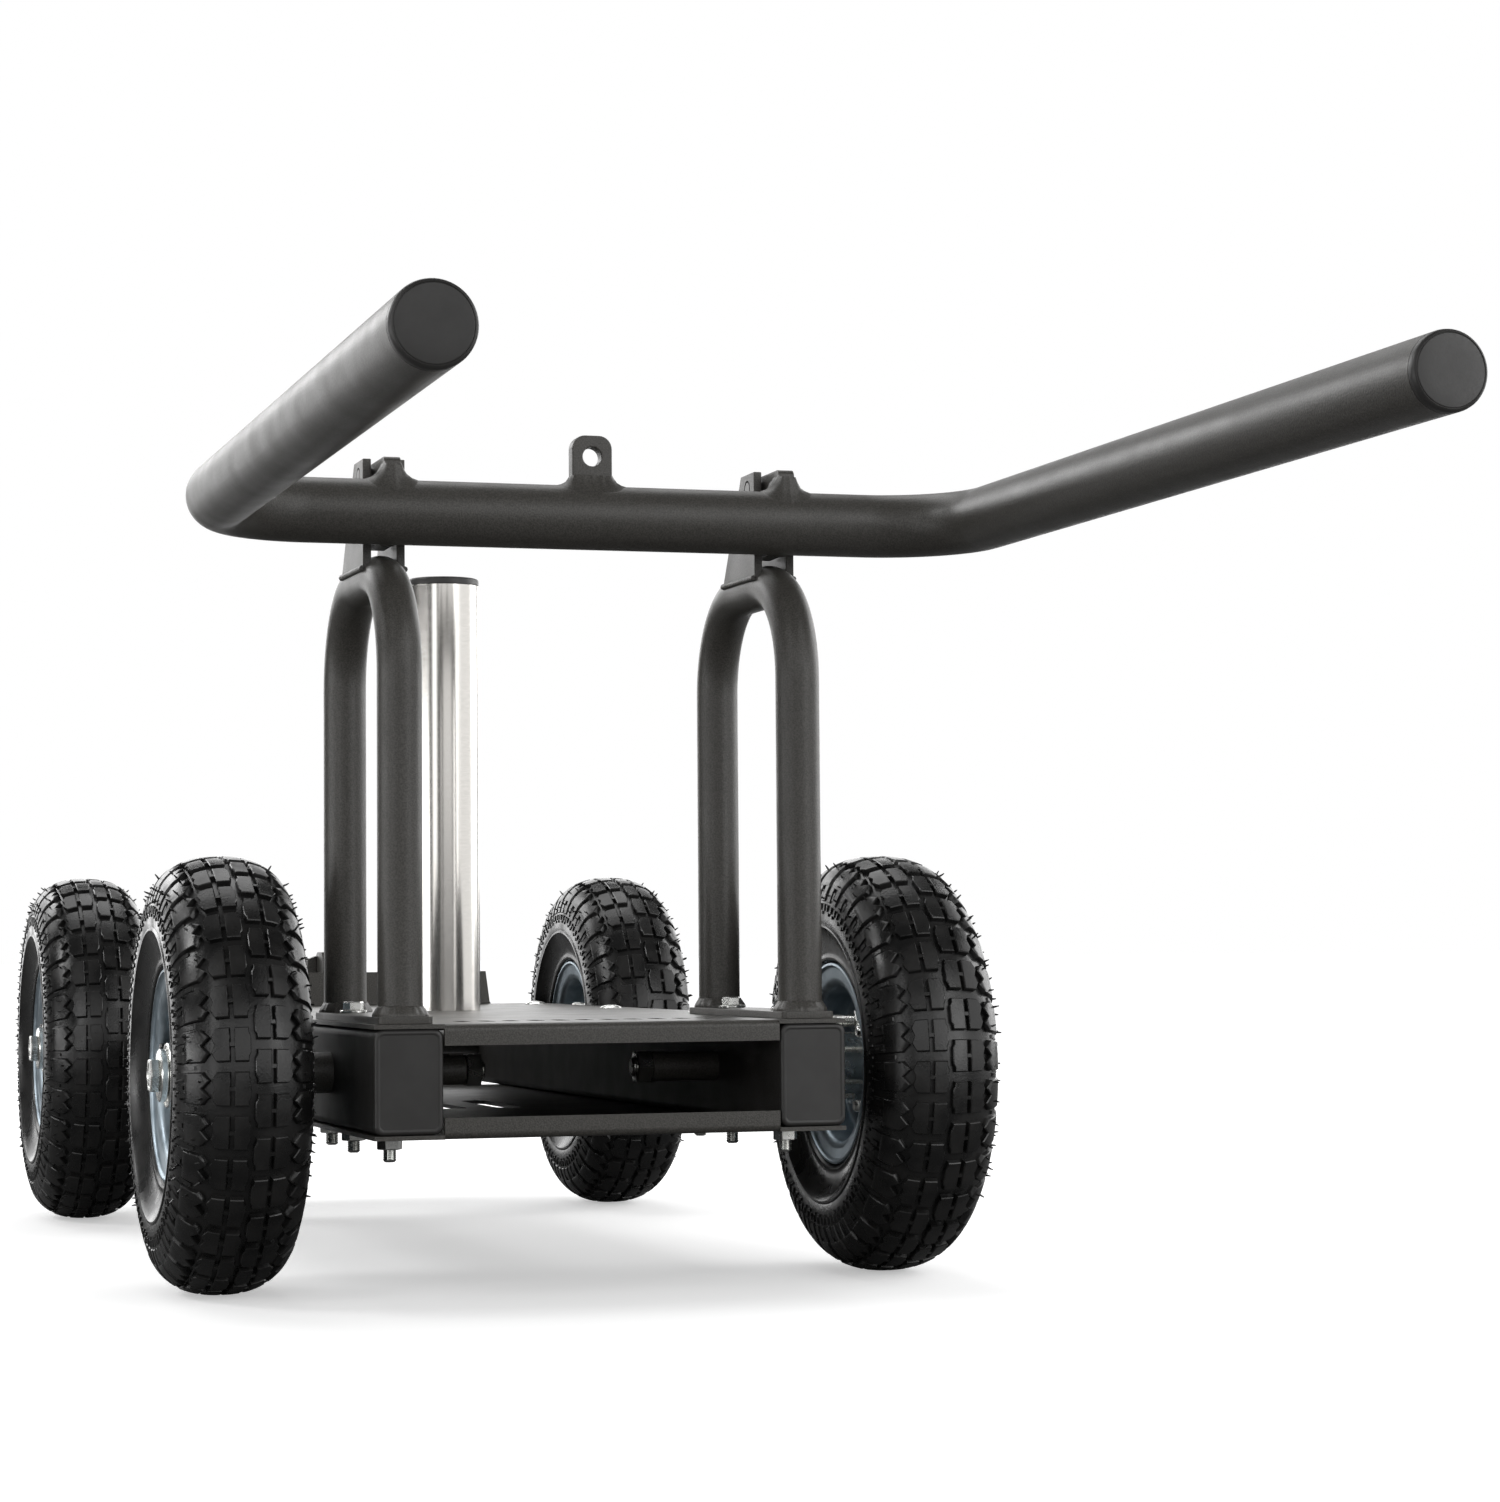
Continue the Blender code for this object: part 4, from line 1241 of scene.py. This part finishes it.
def build_lights():
    world = bpy.data.worlds.new("studio")
    world.use_nodes = True
    background = world.node_tree.nodes["Background"]
    background.inputs["Color"].default_value = (1.0, 1.0, 1.0, 1.0)
    rays = world.node_tree.nodes.new("ShaderNodeLightPath")
    level = world.node_tree.nodes.new("ShaderNodeMapRange")
    level.inputs["To Min"].default_value = WORLD_LIGHT
    level.inputs["To Max"].default_value = 1.0
    world.node_tree.links.new(rays.outputs["Is Camera Ray"], level.inputs["Value"])
    world.node_tree.links.new(level.outputs["Result"], background.inputs["Strength"])
    bpy.context.scene.world = world
    middle = (0, 0.1, 0.3)
    area_light("left_softbox", (-2.2, 0.5, 1.9), middle, (1.0, 0.8), 17.0)
    area_light("left_low_panel", (-2.6, -0.1, 0.3), (0, 0.1, 0.15), (2.2, 0.45), 15.0)
    area_light("right_softbox", (2.3, 0.9, 1.1), middle, (1.6, 1.8), 26.0)
    area_light("top_softbox", (0.0, 1.6, 2.7), middle, (2.2, 1.8), 24.0)
    area_light("back_left_box", (-1.3, 2.6, 1.7), (-0.2, -0.4, 0.45), (1.2, 0.8), 15.0)
    area_light("backdrop", (0.8, 4.6, 1.1), (0, 0, 0.3), (6.5, 2.2), 105.0)
    area_light("front_panel", (0.6, -4.6, 1.7), (0, 0, 0.35), (7.0, 2.8), 68.0)
    area_light("right_front_panel", (2.0, -0.45, 0.8), (0, 0.27, 0.4), (2.6, 1.8), 16.0)
    area_light("front_left_strip", (-1.3, -1.25, 1.0), (0, 0.27, 1.0), (0.5, 2.2), 7.0)
    area_light("front_right_strip", (0.92, -1.5, 1.0), (0, 0.27, 1.0), (0.5, 2.2), 7.0)


CAMERA_AT = (-0.54543, -2.16502, 0.20324)
CAMERA_TURN = (math.radians(17.56), math.radians(3.16), math.radians(-0.46))
CAMERA_LENS = 85.12


def build_camera():
    """The camera at the picture's place, turned by yaw, pitch and roll."""
    camera = bpy.data.cameras.new("photo_camera")
    camera.sensor_width = 36.0
    camera.lens = CAMERA_LENS
    camera.clip_end = 100.0
    obj = bpy.data.objects.new("photo_camera", camera)
    yaw, pitch, roll = CAMERA_TURN
    ahead = Vector((
        math.sin(yaw) * math.cos(pitch), math.cos(yaw) * math.cos(pitch), math.sin(pitch),
    ))
    right = Vector((math.cos(yaw), -math.sin(yaw), 0.0))
    up = right.cross(ahead)
    right, up = (
        right * math.cos(roll) + up * math.sin(roll), up * math.cos(roll) - right * math.sin(roll),
    )
    turn = Matrix((right, up, -ahead)).transposed().to_4x4()
    obj.matrix_world = Matrix.Translation(CAMERA_AT) @ turn
    bpy.context.scene.collection.objects.link(obj)
    bpy.context.scene.camera = obj


def main():
    build_rails()
    build_sheets()
    build_tow_eye()
    build_hoops()
    build_pivots()
    build_handle()
    build_post()
    for name, centre in WHEELS.items():
        build_wheel(name, centre)
    stage_floor()
    build_lights()
    build_camera()
    bpy.context.scene.view_settings.view_transform = "Standard"


main()
